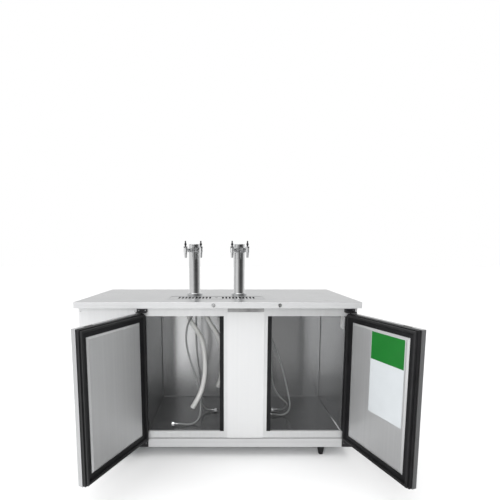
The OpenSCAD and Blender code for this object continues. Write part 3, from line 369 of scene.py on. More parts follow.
STEEL_TOP = brushed_metal("Counter steel", (0.53, 0.535, 0.54), 0.3, ALONG_X)
STEEL_FRONT = brushed_metal("Front steel", (0.72, 0.725, 0.73), 0.38, ALONG_Z, metal=0.4)
STEEL_RAIL = brushed_metal("Rail steel", (0.58, 0.585, 0.59), 0.42, ALONG_X, metal=0.2)
STEEL_DOOR = brushed_metal("Door steel", (0.5, 0.505, 0.51), 0.3, ALONG_Z)
STEEL_PAN = brushed_metal("Door pan steel", (0.6, 0.605, 0.61), 0.42, ALONG_Z, bump=0.03, metal=0.66)
STEEL_ROOM = brushed_metal("Keg room back steel", (0.64, 0.645, 0.65), 0.25, ALONG_Z, contrast=0.01,
                           bump=0.01, metal=0.92, vary=0.3, stretch=0.9)
# The side walls' tone, darker than the back wall's, is painted shade; their smaller stretch is their own
# finish
SIDE_SHADE_STEEL = brushed_metal("Keg room side steel with painted shade", (0.52, 0.525, 0.53), 0.25, ALONG_Z, contrast=0.01,
                           bump=0.01, metal=0.9, vary=0.3, stretch=0.7)
# The keg room floor's darker tone is painted shade: the room's steel darkened for the dark reflections the
# floor shows
FLOOR_SHADE_STEEL = brushed_metal("Keg room floor steel with painted shade", (0.34, 0.342, 0.345), 0.24, ALONG_X, contrast=0.008,
                            bump=0.01, metal=0.85, vary=0.3)
STEEL_COVER = brushed_metal("Cover plate steel", (0.74, 0.745, 0.75), 0.5, ALONG_Z, contrast=0.008,
                            metal=0.25)
STEEL_GRATE = brushed_metal("Grate steel", (0.5, 0.505, 0.51), 0.3, ALONG_X)
# Near-black steel for the basin and the grate's slot walls: painted shade where they lie in shadow
BASIN_SHADE_STEEL = brushed_metal("Drip basin steel with painted shade", (0.06, 0.06, 0.062), 0.4, ALONG_X, contrast=0.01)
GALVANISED = brushed_metal("Galvanised sheet", (0.55, 0.57, 0.58), 0.45, ALL_WAYS, contrast=0.08, blotch=25.0)
CHROME = polished_metal("Tower chrome", (0.66, 0.665, 0.67), 0.14)
CHROME_SMALL = polished_metal("Faucet chrome", (0.6, 0.605, 0.61), 0.14)
SCREW_STEEL = polished_metal("Screw steel", (0.62, 0.625, 0.63), 0.22)
FIN_METAL = brushed_metal("Fin aluminium", (0.7, 0.71, 0.72), 0.35, ALONG_Z)
COPPER = polished_metal("Copper tube", (0.72, 0.4, 0.24), 0.22)
BLACK_PLASTIC = moulded("Black plastic", (0.012, 0.012, 0.013), 0.42, gloss=0.2)
BLACK_RING = moulded("Door ring plastic", (0.012, 0.012, 0.013), 0.4, scale=700.0, gloss=0.25)
BLACK_RUBBER = moulded("Gasket rubber", (0.012, 0.012, 0.013), 0.5, scale=1200.0)
BLACK_PAINT = moulded("Black paint", (0.018, 0.018, 0.02), 0.34, scale=600.0, bump=0.08, coat=0.2)
DARK_STEEL = moulded("Blackened steel", (0.045, 0.045, 0.048), 0.3, scale=500.0, bump=0.05, metallic=0.8)
GREY_PLASTIC = moulded("Grey plastic", (0.3, 0.31, 0.32), 0.45)
# Grey of the strip above the post's cover plate: painted shadow of the recess under the counter
GAP_SHADE_GREY = moulded("Painted gap shade", (0.3, 0.3, 0.3), 0.5, gloss=0.3)
FOAM = moulded("Insulation foam", (0.2, 0.2, 0.195), 0.85, scale=350.0, bump=0.5, change=0.1)
CLEAR_LINE = hose_wall("Beer line wall", (0.42, 0.43, 0.43), 0.16, ribs=0.0, bump=0.0, clear=0.4)
WHITE_HOSE = hose_wall("Air hose wall", (0.64, 0.64, 0.63), 0.3, ribs=60.0, bump=0.3, clear=0.0)
CARD_WHITE = moulded("White card", (0.6, 0.63, 0.65), 0.45, scale=400.0, bump=0.03, change=0.02)
PLATE_WHITE = moulded("White plate", (0.92, 0.93, 0.93), 0.4, scale=400.0, bump=0.03, change=0.02)
CARD_GREEN = moulded("Green card", (0.004, 0.16, 0.016), 0.45, scale=400.0, bump=0.03, change=0.06)


# Mesh helpers
def link_object(name, mesh, material):
    """A new object at the origin with one material."""
    piece = bpy.data.objects.new(name, mesh)
    if material is not None:
        mesh.materials.clear()
        mesh.materials.append(material)
    bpy.context.collection.objects.link(piece)
    return piece


def finish_piece(piece, body, slot, *nodes):
    """Sets what a piece rides on and hides the CAD nodes that it stands for; the finish slot is not used."""
    if nodes:
        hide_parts(*nodes)
    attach(piece, body)
    return piece


def mesh_from(name, points, faces, smooth_angle=None):
    """A mesh from points and faces, with outward normals and smooth shading below an angle."""
    mesh = bpy.data.meshes.new(name)
    mesh.from_pydata([tuple(p) for p in points], [], faces)
    shape = bmesh.new()
    shape.from_mesh(mesh)
    bmesh.ops.recalc_face_normals(shape, faces=shape.faces)
    shape.to_mesh(mesh)
    shape.free()
    shade(mesh, smooth_angle)
    return mesh


def shade(mesh, smooth_angle):
    """Smooth shading with sharp edges above an angle in degrees, or flat shading."""
    if smooth_angle is None:
        mesh.shade_flat()
    else:
        mesh.shade_smooth()
        mesh.set_sharp_from_angle(angle=math.radians(smooth_angle))


def shape_piece(name, shape, material, smooth_angle=None):
    """An object from a shape's points and faces."""
    return link_object(name, mesh_from(name, *shape, smooth_angle=smooth_angle), material)


def lathe(profile, centre, axis, sides=48):
    """Points and faces of a profile of (radius, height) turned about an axis."""
    axis = Vector(axis).normalized()
    across = axis.orthogonal().normalized()
    other = axis.cross(across)
    points = []
    for radius, height in profile:
        middle = Vector(centre) + axis * height
        for k in range(sides):
            a = 2 * math.pi * k / sides
            points.append(middle + across * (radius * math.cos(a)) + other * (radius * math.sin(a)))
    faces = []
    for i in range(len(profile) - 1):
        for k in range(sides):
            nxt = (k + 1) % sides
            faces.append((i * sides + k, i * sides + nxt, (i + 1) * sides + nxt, (i + 1) * sides + k))
    faces.append(tuple(range(sides)))
    faces.append(tuple((len(profile) - 1) * sides + k for k in range(sides)))
    return points, faces


def join_shapes(shapes):
    """One list of points and one of faces from several shapes."""
    points = []
    faces = []
    for shape_points, shape_faces in shapes:
        start = len(points)
        points.extend(shape_points)
        faces.extend(tuple(i + start for i in face) for face in shape_faces)
    return points, faces


def box_shape(low, high):
    """Points and faces of a box."""
    points = [Vector(corner) for corner in product(*zip(low, high))]
    faces = [(0, 1, 3, 2), (4, 6, 7, 5), (0, 4, 5, 1), (2, 3, 7, 6), (0, 2, 6, 4), (1, 5, 7, 3)]
    return points, faces


# A face larger than this, in square metres, is a flat panel and is shaded flat, so that it mirrors truly
FLAT_FACE = 0.006
# Edges that turn by more than this many radians are rounded, and points this close in metres are merged
ROUNDED_TURN = 0.6
MERGED = 1e-5


def softened(name, node, material, width, keep=None, segments=2, smooth_angle=40):
    """A merged copy of a CAD node with its edges rounded; keep chooses the edges by their two ends."""
    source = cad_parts[node]
    shape = bmesh.new()
    shape.from_mesh(source.data)
    bmesh.ops.remove_doubles(shape, verts=shape.verts, dist=MERGED)
    bmesh.ops.dissolve_limit(shape, angle_limit=math.radians(0.5), verts=shape.verts, edges=shape.edges)
    edges = []
    for edge in shape.edges:
        if len(edge.link_faces) != 2 or edge.calc_face_angle() < ROUNDED_TURN:
            continue
        if keep is None or keep(edge.verts[0].co, edge.verts[1].co):
            edges.append(edge)
    bmesh.ops.bevel(shape, geom=edges, offset=width, offset_type="OFFSET", segments=segments, profile=0.5,
                    affect="EDGES", clamp_overlap=True)
    mesh = bpy.data.meshes.new(name)
    shape.to_mesh(mesh)
    shape.free()
    shade(mesh, smooth_angle)
    for face in mesh.polygons:
        if face.area > FLAT_FACE:
            face.use_smooth = False
    return link_object(name, mesh, material)


def door_matrix(side):
    """From a door's own frame, closed, to where it stands open."""
    flip = Matrix.Scale(-1, 4, (1, 0, 0)) if side == "right" else Matrix.Identity(4)
    return Matrix.Translation((HINGE_X[side], HINGE_Y, 0)) @ flip @ Matrix.Rotation(-OPEN_ANGLE[side], 4, "Z")


# Hoses and their fittings
def hump(t):
    """The weight of a near stop on a smooth curve."""
    return 4 - 6 * t * t + 3 * t ** 3


def spline_point(a, b, c, d, t):
    """A point on the smooth curve that runs along between b and c."""
    return ((1 - t) ** 3 * a + hump(t) * b + hump(1 - t) * c + t ** 3 * d) / 6


def route_points(name, steps):
    """The route of a free line as points in metres, a number of steps for each stop."""
    start = STARTS[name]
    rise = (ROOM_CEILING - ROOM_FLOOR) / DRAWN_HEIGHT
    stops = []
    for x, y, z in ROUTES[name]:
        height = ROOM_FLOOR + (z / 1000 - DRAWN_FLOOR) * rise
        stops.append(Vector((start[0] + x / 1000, start[1] + y / 1000, height)))
    stops = [2 * stops[0] - stops[1]] + stops + [2 * stops[-1] - stops[-2]]
    points = []
    for i in range(len(stops) - 3):
        points.extend(spline_point(*stops[i:i + 4], k / steps) for k in range(steps))
    points.append(stops[-2])
    return points


def hose_mesh(name, points, radius, sides, bore):
    """A round tube along the points, with a map that runs along its length and an open far end."""
    count = len(points)
    ways = []
    for i in range(count):
        ways.append((points[min(i + 1, count - 1)] - points[max(i - 1, 0)]).normalized())
    across = ways[0].orthogonal().normalized()
    rings = []
    run = 0.0
    for i in range(count):
        if i:
            run += (points[i] - points[i - 1]).length
            across = (across - ways[i] * across.dot(ways[i])).normalized()
        rings.append((points[i], ways[i], across.copy(), radius, run))
    end, way, across, _, run = rings[-1]
    rings.append((end, way, across, bore, run))
    rings.append((end - way * (3 * bore), way, across, bore, run))
    mesh = bpy.data.meshes.new(name)
    shape = bmesh.new()
    layer = shape.loops.layers.uv.new("along")
    circles = []
    angles = [2 * math.pi * k / sides for k in range(sides)]
    for centre, way, across, r, _ in rings:
        other = way.cross(across)
        circles.append([shape.verts.new(centre + across * (r * math.cos(a)) + other * (r * math.sin(a)))
                        for a in angles])
    for i in range(len(rings) - 1):
        for k in range(sides):
            nxt = (k + 1) % sides
            face = shape.faces.new((circles[i][k], circles[i][nxt], circles[i + 1][nxt], circles[i + 1][k]))
            for loop, u, v in zip(face.loops, (k, k + 1, k + 1, k), (i, i, i + 1, i + 1)):
                loop[layer].uv = (u / sides, rings[v][4])
    shape.faces.new(reversed(circles[0]))
    shape.faces.new(circles[-1])
    bmesh.ops.recalc_face_normals(shape, faces=shape.faces)
    shape.to_mesh(mesh)
    shape.free()
    shade(mesh, 50)
    return mesh


# Profiles of a line's barbed tail with its clamp, and of its nut: radius, and distance from the line's end
TAIL_PROFILE = [
    (0.0036, 0.0), (0.0064, 0.0), (0.0064, 0.004), (0.0084, 0.005), (0.0084, 0.0065), (0.0078, 0.007),
    (0.0078, 0.011), (0.0084, 0.0115), (0.0084, 0.013), (0.0064, 0.014), (0.0064, 0.020),
    (0.0105, 0.0215), (0.0110, 0.023), (0.0110, 0.0262), (0.0036, 0.0262),
]
NUT_PROFILE = [
    (0.0036, 0.0262), (0.0118, 0.0262), (0.0136, 0.0275), (0.0136, 0.0427), (0.0122, 0.0440),
    (0.0108, 0.0440), (0.0104, 0.0425), (0.0106, 0.0410), (0.0104, 0.0395), (0.0106, 0.0380),
    (0.0104, 0.0365), (0.0106, 0.0350), (0.0036, 0.0345),
]


def line_nut(name, end, way):
    """A barbed tail with a clamp and a hexagonal nut, from the line's end along X."""
    axis = (way, 0, 0)
    shape = join_shapes([lathe(TAIL_PROFILE, end, axis, sides=28), lathe(NUT_PROFILE, end, axis, sides=6)])
    return shape_piece(name, shape, CHROME_SMALL, 35)


# Points for each stop of a route, and the shares of a line's and a hose's radius that are bore
ROUTE_STEPS = 8
LINE_BORE = 0.62
HOSE_BORE = 0.8


def make_hoses():
    """The free beer lines and air hoses, with a nut on each beer line's end."""
    for name in ROUTES:
        points = route_points(name, ROUTE_STEPS)
        beer = name.startswith("beer")
        radius = LINE_RADIUS if beer else HOSE_RADIUS
        bore = radius * (LINE_BORE if beer else HOSE_BORE)
        mesh = hose_mesh(name + "_wall", points, radius, 16 if beer else 24, bore)
        piece = link_object(name + "_wall", mesh, CLEAR_LINE if beer else WHITE_HOSE)
        finish_piece(piece, "cabinet", "clear_line" if beer else "white_hose", name)
        if beer:
            nut = line_nut(name + "_nut", points[-1], NUT_WAY[name])
            finish_piece(nut, "cabinet", "chrome", "line_nuts")


# Fittings that repeat, made by Geometry Nodes
def node_tree(name, inputs):
    """A new Geometry Nodes tree with a geometry input, named inputs (name, socket type) and one output."""
    tree = bpy.data.node_groups.new(name, "GeometryNodeTree")
    tree.interface.new_socket(name="Points", in_out="INPUT", socket_type="NodeSocketGeometry")
    for label, kind in inputs:
        tree.interface.new_socket(name=label, in_out="INPUT", socket_type=kind)
    tree.interface.new_socket(name="Made", in_out="OUTPUT", socket_type="NodeSocketGeometry")
    return tree, tree.nodes.new("NodeGroupInput"), tree.nodes.new("NodeGroupOutput")


def feed(tree, slots, values):
    """Gives each socket its value, which is another socket or a number."""
    for slot, value in zip(slots, values):
        if isinstance(value, (int, float)):
            slot.default_value = value
        else:
            tree.links.new(value, slot)


def add_math(tree, operation, first, second):
    """A Math node of two values: returns its result."""
    node = tree.nodes.new("ShaderNodeMath")
    node.operation = operation
    feed(tree, node.inputs, (first, second))
    return node.outputs["Value"]


def add_vector(tree, x, y, z):
    """A Combine XYZ node of three values: returns its vector."""
    node = tree.nodes.new("ShaderNodeCombineXYZ")
    feed(tree, node.inputs, (x, y, z))
    return node.outputs["Vector"]


def put_on(tree, points, shape):
    """Puts a shape on each point: returns the node, which also takes a rotation and a scale."""
    node = tree.nodes.new("GeometryNodeInstanceOnPoints")
    tree.links.new(points, node.inputs["Points"])
    tree.links.new(shape, node.inputs["Instance"])
    return node


def add_named(tree, name, kind):
    """Reads a named attribute of the points."""
    node = tree.nodes.new("GeometryNodeInputNamedAttribute")
    node.data_type = kind
    node.inputs["Name"].default_value = name
    return node.outputs["Attribute"]


def add_facing(tree):
    """A rotation that turns Z to the points' own facing."""
    node = tree.nodes.new("FunctionNodeAlignRotationToVector")
    node.axis = "Z"
    tree.links.new(add_named(tree, "facing", "FLOAT_VECTOR"), node.inputs["Vector"])
    return node.outputs["Rotation"]


def finish_tree(tree, geometry, given, made):
    """Ends a tree: real geometry with one material."""
    real = tree.nodes.new("GeometryNodeRealizeInstances")
    paint = tree.nodes.new("GeometryNodeSetMaterial")
    tree.links.new(geometry, real.inputs["Geometry"])
    tree.links.new(real.outputs["Geometry"], paint.inputs["Geometry"])
    tree.links.new(given.outputs["Material"], paint.inputs["Material"])
    tree.links.new(paint.outputs["Geometry"], made.inputs["Made"])
    return tree


def make_screw_tree():
    """Screw heads with a cross recess, one on each point, turned to its facing and scaled by its size."""
    tree, given, made = node_tree("Screw heads", [("Head Radius", "NodeSocketFloat"),
                                                  ("Head Height", "NodeSocketFloat"),
                                                  ("Recess Width", "NodeSocketFloat"),
                                                  ("Material", "NodeSocketMaterial")])
    radius = given.outputs["Head Radius"]
    height = given.outputs["Head Height"]
    head = tree.nodes.new("GeometryNodeMeshCone")
    head.inputs["Vertices"].default_value = 20
    tree.links.new(add_math(tree, "MULTIPLY", radius, 0.72), head.inputs["Radius Top"])
    tree.links.new(radius, head.inputs["Radius Bottom"])
    tree.links.new(height, head.inputs["Depth"])
    cut = tree.nodes.new("GeometryNodeMeshBoolean")
    cut.operation = "DIFFERENCE"
    tree.links.new(head.outputs["Mesh"], cut.inputs["Mesh 1"])
    long = add_math(tree, "MULTIPLY", radius, 1.05)
    deep = add_math(tree, "MULTIPLY", height, 0.8)
    for x, y in ((long, given.outputs["Recess Width"]), (given.outputs["Recess Width"], long)):
        bar = tree.nodes.new("GeometryNodeMeshCube")
        tree.links.new(add_vector(tree, x, y, deep), bar.inputs["Size"])
        lift = tree.nodes.new("GeometryNodeTransform")
        tree.links.new(bar.outputs["Mesh"], lift.inputs["Geometry"])
        tree.links.new(add_vector(tree, 0.0, 0.0, height), lift.inputs["Translation"])
        tree.links.new(lift.outputs["Geometry"], cut.inputs["Mesh 2"])
    put = put_on(tree, given.outputs["Points"], cut.outputs["Mesh"])
    tree.links.new(add_facing(tree), put.inputs["Rotation"])
    tree.links.new(add_named(tree, "size", "FLOAT"), put.inputs["Scale"])
    return finish_tree(tree, put.outputs["Instances"], given, made)


def make_rib_tree():
    """Rings of grip ribs, one ring round each point's facing."""
    tree, given, made = node_tree("Grip ribs", [("Ring Radius", "NodeSocketFloat"),
                                                ("Rib Count", "NodeSocketInt"),
                                                ("Rib Width", "NodeSocketFloat"),
                                                ("Rib Height", "NodeSocketFloat"),
                                                ("Rib Length", "NodeSocketFloat"),
                                                ("Material", "NodeSocketMaterial")])
    ring = tree.nodes.new("GeometryNodeMeshCircle")
    tree.links.new(given.outputs["Rib Count"], ring.inputs["Vertices"])
    tree.links.new(given.outputs["Ring Radius"], ring.inputs["Radius"])
    rib = tree.nodes.new("GeometryNodeMeshCylinder")
    rib.inputs["Vertices"].default_value = 6
    tree.links.new(add_math(tree, "MULTIPLY", given.outputs["Rib Width"], 0.5), rib.inputs["Radius"])
    tree.links.new(given.outputs["Rib Length"], rib.inputs["Depth"])
    flat = tree.nodes.new("GeometryNodeTransform")
    squeeze = add_math(tree, "DIVIDE", given.outputs["Rib Height"], given.outputs["Rib Width"])
    tree.links.new(rib.outputs["Mesh"], flat.inputs["Geometry"])
    tree.links.new(add_vector(tree, squeeze, 1.0, 1.0), flat.inputs["Scale"])
    turn = tree.nodes.new("FunctionNodeAlignRotationToVector")
    turn.axis = "X"
    spot = tree.nodes.new("GeometryNodeInputPosition")
    tree.links.new(spot.outputs["Position"], turn.inputs["Vector"])
    row = put_on(tree, ring.outputs["Mesh"], flat.outputs["Geometry"])
    tree.links.new(turn.outputs["Rotation"], row.inputs["Rotation"])
    put = put_on(tree, given.outputs["Points"], row.outputs["Instances"])
    tree.links.new(add_facing(tree), put.inputs["Rotation"])
    return finish_tree(tree, put.outputs["Instances"], given, made)


def make_fin_tree():
    """A row of thin fins along X, starting at each point."""
    tree, given, made = node_tree("Fin row", [("Fin Count", "NodeSocketInt"),
                                              ("Fin Pitch", "NodeSocketFloat"),
                                              ("Fin Size", "NodeSocketVector"),
                                              ("Material", "NodeSocketMaterial")])
    line = tree.nodes.new("GeometryNodeMeshLine")
    tree.links.new(given.outputs["Fin Count"], line.inputs["Count"])
    tree.links.new(add_vector(tree, given.outputs["Fin Pitch"], 0.0, 0.0), line.inputs["Offset"])
    fin = tree.nodes.new("GeometryNodeMeshCube")
    tree.links.new(given.outputs["Fin Size"], fin.inputs["Size"])
    row = put_on(tree, line.outputs["Mesh"], fin.outputs["Mesh"])
    put = put_on(tree, given.outputs["Points"], row.outputs["Instances"])
    return finish_tree(tree, put.outputs["Instances"], given, made)


def grow(name, tree, places, values):
    """Runs a tree on points (place, facing, size) and keeps the result as a plain mesh object."""
    mesh = bpy.data.meshes.new(name)
    mesh.from_pydata([tuple(place) for place, _, _ in places], [], [])
    mesh.attributes.new("facing", "FLOAT_VECTOR", "POINT")
    mesh.attributes.new("size", "FLOAT", "POINT")
    for i, (_, way, scale) in enumerate(places):
        mesh.attributes["facing"].data[i].vector = tuple(way)
        mesh.attributes["size"].data[i].value = scale
    piece = bpy.data.objects.new(name, mesh)
    bpy.context.collection.objects.link(piece)
    maker = piece.modifiers.new("maker", "NODES")
    maker.node_group = tree
    for item in tree.interface.items_tree:
        if item.item_type == "SOCKET" and item.in_out == "INPUT" and item.name in values:
            maker[item.identifier] = values[item.name]
    view = bpy.context.evaluated_depsgraph_get()
    made = bpy.data.meshes.new_from_object(piece.evaluated_get(view))
    piece.modifiers.remove(maker)
    piece.data = made
    for attribute in [a.name for a in made.attributes if a.name in ("facing", "size")]:
        made.attributes.remove(made.attributes[attribute])
    shade(made, 40)
    return piece


# Screws as X and Z: on the hinge brackets, from the hinge line, on the machine panel and on the back panel
BRACKET_SCREWS = ((-0.024, 0.961), (0.018, 0.961), (-0.038, 0.099), (0.002, 0.099))
BRACKET_T = 0.0040
PANEL_SCREWS = tuple(product((-0.846, -0.512), (0.165, 0.56, 0.955)))
BACK_SCREWS = tuple(product((-0.845, -0.43, 0.0, 0.43, 0.845), (0.09, 1.0)))
BACK_SIDE_SCREWS = ((-0.845, 0.4), (0.845, 0.4), (-0.845, 0.7), (0.845, 0.7))

# The keg room floor's screws, and the gap under every screw head
FLOOR_SCREWS_X = (-0.440, 0.576, 0.786)
FLOOR_SCREWS_Y = -0.262
SCREW_GAP = 0.0001


def screw_places():
    """Where the screws sit, each with the way that it faces and its size."""
    front = Vector((0, -1, 0))
    behind = Vector((0, 1, 0))
    places = []
    for side, sign in (("left", 1), ("right", -1)):
        for x, z in BRACKET_SCREWS:
            places.append((Vector((HINGE_X[side] + sign * x, FRAME_Y - BRACKET_T, z)), front, 1.3))
    places.extend((Vector((x, FRAME_Y, z)), front, 1.0) for x, z in PANEL_SCREWS)
    places.extend((Vector((x, BACK_FACE, z)), behind, 1.0) for x, z in BACK_SCREWS + BACK_SIDE_SCREWS)
    places.extend((Vector((x, FLOOR_SCREWS_Y, ROOM_FLOOR)), Vector((0, 0, 1)), 1.1) for x in FLOOR_SCREWS_X)
    return [(place + way * SCREW_GAP, way, size) for place, way, size in places]


# The coils: fin thickness, tube radius, height of a row of tubes, end plates, pipe stubs and half a fin pack
FIN_T = 0.0005
TUBE_RADIUS = 0.0048
TUBE_ROW = 0.045
END_PLATE_T = 0.003
STUB_RADIUS = 0.0055
FIN_PACK_HALF = 0.1425


def fin_bank(name, node, count, fin, frame_shapes):
    """A fin pack between end plates, with its tubes, in place of a coil's solid block."""
    low = Vector(fin[0])
    high = Vector(fin[1])
    size = high - low
    pitch = size.x / count
    spot = Vector((low.x + pitch / 2, (low.y + high.y) / 2, (low.z + high.z) / 2))
    fins = grow(name + "_fins", FIN_TREE, [(spot, (0, 0, 1), 1.0)],
                {"Fin Count": count, "Fin Pitch": pitch, "Fin Size": (FIN_T, size.y, size.z),
                 "Material": FIN_METAL})
    finish_piece(fins, "cabinet", "galvanised", node)
    ends = shape_piece(name + "_ends", join_shapes(frame_shapes), GALVANISED, 40)
    finish_piece(ends, "cabinet", "galvanised", node)
    tubes = []
    rows = max(3, int(size.z / TUBE_ROW))
    profile = [(TUBE_RADIUS, 0.0), (TUBE_RADIUS, size.x)]
    for i in range(rows):
        z = low.z + size.z * (i + 0.5) / rows
        for y in (low.y + size.y * 0.27, low.y + size.y * 0.73):
            tubes.append(lathe(profile, (low.x, y, z), (1, 0, 0), sides=10))
    pipes = shape_piece(name + "_tubes", join_shapes(tubes), COPPER, 40)
    finish_piece(pipes, "cabinet", "copper", node)


SCREW_TREE = make_screw_tree()
RIB_TREE = make_rib_tree()
FIN_TREE = make_fin_tree()


def make_fittings():
    """Screws, the coupling nuts' grip ribs and the two coils' fins."""
    screws = grow("panel_screws", SCREW_TREE, screw_places(),
                  {"Head Radius": 0.0040, "Head Height": 0.0022, "Recess Width": 0.0010,
                   "Material": SCREW_STEEL})
    finish_piece(screws, "cabinet", "chrome")
    rings = []
    for k in range(4):
        base, out = faucet_place(k)
        rings.append((base - out * (FAUCET_REACH - COUPLING_REACH), out, 1.0))
    ribs = grow("coupling_ribs", RIB_TREE, rings,
                {"Ring Radius": 0.0150, "Rib Count": 30, "Rib Width": 0.0018, "Rib Height": 0.0012,
                 "Rib Length": 0.0150, "Material": CHROME_SMALL})
    finish_piece(ribs, "cabinet", "chrome")

    low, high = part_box("condenser_coil")
    fin = ((BAY_X - FIN_PACK_HALF, -0.288, 0.120), (BAY_X + FIN_PACK_HALF, -0.242, 0.440))
    ends = []
    for side in (-1, 1):
        plate_x = BAY_X + side * (FIN_PACK_HALF + 0.001)
        ends.append(box_shape((plate_x - END_PLATE_T / 2, low[1], low[2]),
                              (plate_x + END_PLATE_T / 2, high[1], 0.446)))
    for length, inset, z, way in ((0.021, 0.008, 0.435, (0, 0, 1)), (0.009, 0.005, 0.150, (1, 0, 0))):
        stub = [(STUB_RADIUS, 0.0), (STUB_RADIUS, length)]
        ends.append(lathe(stub, (BAY_X + FIN_PACK_HALF - inset, -0.265, z), way, sides=16))
    fin_bank("condenser", "condenser_coil", 110, fin, ends)

    low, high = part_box("evaporator_coil")
    fin = ((low[0] + 0.0025, low[1] + 0.002, low[2] + 0.0285),
           (high[0] - 0.0025, high[1] - 0.002, high[2] - 0.0185))
    ends = [box_shape(low, (low[0] + END_PLATE_T, high[1], high[2])),
            box_shape((high[0] - END_PLATE_T, low[1], low[2]), high)]
    fin_bank("evaporator", "evaporator_coil", 72, fin, ends)


place_camera()
make_hoses()


# Finishes of the CAD nodes that stay
NODE_FINISH = {
    "base_pan": GALVANISED,
    "base_rail": STEEL_RAIL,
    "body_panels": STEEL_FRONT,
    "back_panel": GALVANISED,
    "insulation": FOAM,
    "face_frame": STEEL_FRONT,
    "breaker_posts": BLACK_PLASTIC,
    "machine_panel": STEEL_FRONT,
    "drain_tubes": BLACK_RUBBER,
    "lock_plug_left": SCREW_STEEL,
    "lock_plug_right": SCREW_STEEL,
    "flange_screws": SCREW_STEEL,
    "tower_throats": BLACK_PLASTIC,
    "tower_risers": CLEAR_LINE,
    "faucet_shanks": CHROME_SMALL,
    "air_ducts": BLACK_PLASTIC,
    "compressor": BLACK_PAINT,
    "fan_shroud": BLACK_PAINT,
    "condenser_fan": GREY_PLASTIC,
    "refrigerant_lines": COPPER,
    "control_box": GREY_PLASTIC,
    "evaporator_housing": GALVANISED,
    "evaporator_fan": GREY_PLASTIC,
    "door_core_left": FOAM,
    "door_core_right": FOAM,
    "door_pan_left": STEEL_PAN,
    "door_pan_right": STEEL_PAN,
}


def dress_nodes():
    """Gives each CAD node that stays its finish."""
    for node, material in NODE_FINISH.items():
        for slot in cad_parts[node].material_slots:
            slot.material = material


# The counter, front and other rounded sheets
def on_counter_edge(a, b):
    """Whether an edge runs along the counter's outer top rim or down one of its corners."""
    def outside(p):
        return int(abs(abs(p.x) - COUNTER_HALF_X) < NEAR) + int(abs(abs(p.y) - COUNTER_HALF_Y) < NEAR)
    on_rim = abs(a.z - COUNTER_Z) < NEAR and abs(b.z - COUNTER_Z) < NEAR and outside(a) and outside(b)
    on_corner = outside(a) == 2 and outside(b) == 2 and abs(a.z - b.z) > 0.01
    return on_rim or on_corner


def on_door_face(side):
    """Chooses the edges round a door skin's outer face."""
    back = door_matrix(side).inverted()

    def keep(a, b):
        first = back @ a
        second = back @ b
        on_face = abs(first.y - SKIN_V) < 2 * NEAR and abs(second.y - SKIN_V) < 2 * NEAR
        gaps = [min(abs(p.x - DOOR_EDGE), abs(p.x - DOOR_FAR), abs(p.z - DOOR_LOW), abs(p.z - DOOR_TOP))
                for p in (first, second)]
        return on_face and max(gaps) < 2 * NEAR
    return keep


# Pieces with all edges rounded: name, CAD node, finish, width of the rounding, body and finish slot
ROUNDED = (
    ("post_cover_plate", "post_cover", STEEL_COVER, 0.0008, "cabinet", "bright_plate"),
    ("hinge_plates", "hinge_brackets", BLACK_PAINT, 0.0009, "cabinet", "black_paint"),
    ("rubbed_feet", "feet", BLACK_PLASTIC, 0.0016, "cabinet", "black_plastic"),
    ("dial_knob", "thermostat_knob", BLACK_PLASTIC, 0.0008, "thermostat_knob", "black_plastic"),
    ("cord_collar", "cord_gland", BLACK_PLASTIC, 0.0008, "cabinet", "black_plastic"),
    ("faucet_castings", "faucet_bodies", CHROME_SMALL, 0.0006, "cabinet", "chrome"),
    ("shank_rings", "shank_nuts", CHROME_SMALL, 0.0007, "cabinet", "chrome"),
    ("tower_lids", "tower_caps", CHROME, 0.0012, "cabinet", "chrome"),
    ("lock_bezels", "lock_barrels", CHROME_SMALL, 0.0006, "cabinet", "chrome"),
)


def make_sheets():
    """Rounded copies of the pieces whose edges catch the light."""
    counter = softened("counter_sheet", "counter_top", STEEL_TOP, 0.0022, on_counter_edge, 3)
    paint_faces(counter, STEEL_RAIL, lambda c, n: abs(n.z) < 0.5)
    finish_piece(counter, "cabinet", "stainless", "counter_top")
    for name, node, material, width, body, slot in ROUNDED:
        finish_piece(softened(name, node, material, width), body, slot, node)
    for side in ("left", "right"):
        body = side + "_door"
        shell = softened("door_shell_" + side, "door_skin_" + side, STEEL_DOOR, 0.0018, on_door_face(side), 3)
        outward = door_matrix(side).to_3x3() @ Vector((0, -1, 0))
        paint_faces(shell, STEEL_FRONT, lambda c, n: n.dot(outward) > 0.9)
        finish_piece(shell, body, "stainless", "door_skin_" + side)
        ring = softened("door_frame_" + side, "door_ring_" + side, BLACK_RING, 0.0014)
        finish_piece(ring, body, "black_plastic", "door_ring_" + side)


def make_painted_gap_shade():
    """A grey strip between the post's cover plate and the counter: painted shadow in place of the shaded
    recess there.
    """
    cover_low, cover_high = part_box("post_cover")
    under_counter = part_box("counter_top")[0][2]
    shape = box_shape((cover_low[0] + 0.004, FRAME_Y - 0.0008, cover_high[2] + 0.0003),
                      (cover_high[0] - 0.004, FRAME_Y - 0.0001, under_counter + 0.004))
    finish_piece(shape_piece("painted_gap_shade_strip", shape, GAP_SHADE_GREY), "cabinet", "black_plastic")


# The keg room and the drip tray
def in_room_corner(a, b):
    """Whether an edge is one of the keg room's inner corners."""
    def walls(p):
        sides = (abs(p.x - ROOM_LEFT), abs(p.x - ROOM_RIGHT), abs(p.y - ROOM_BACK), abs(p.z - ROOM_FLOOR),
                 abs(p.z - ROOM_CEILING))
        return {i for i, gap in enumerate(sides) if gap < NEAR}
    return len(walls(a) & walls(b)) == 2


def paint_faces(piece, material, chosen):
    """Gives a second material to the faces whose centre and normal are chosen."""
    piece.data.materials.append(material)
    for face in piece.data.polygons:
        if chosen(face.center, face.normal):
            face.material_index = len(piece.data.materials) - 1


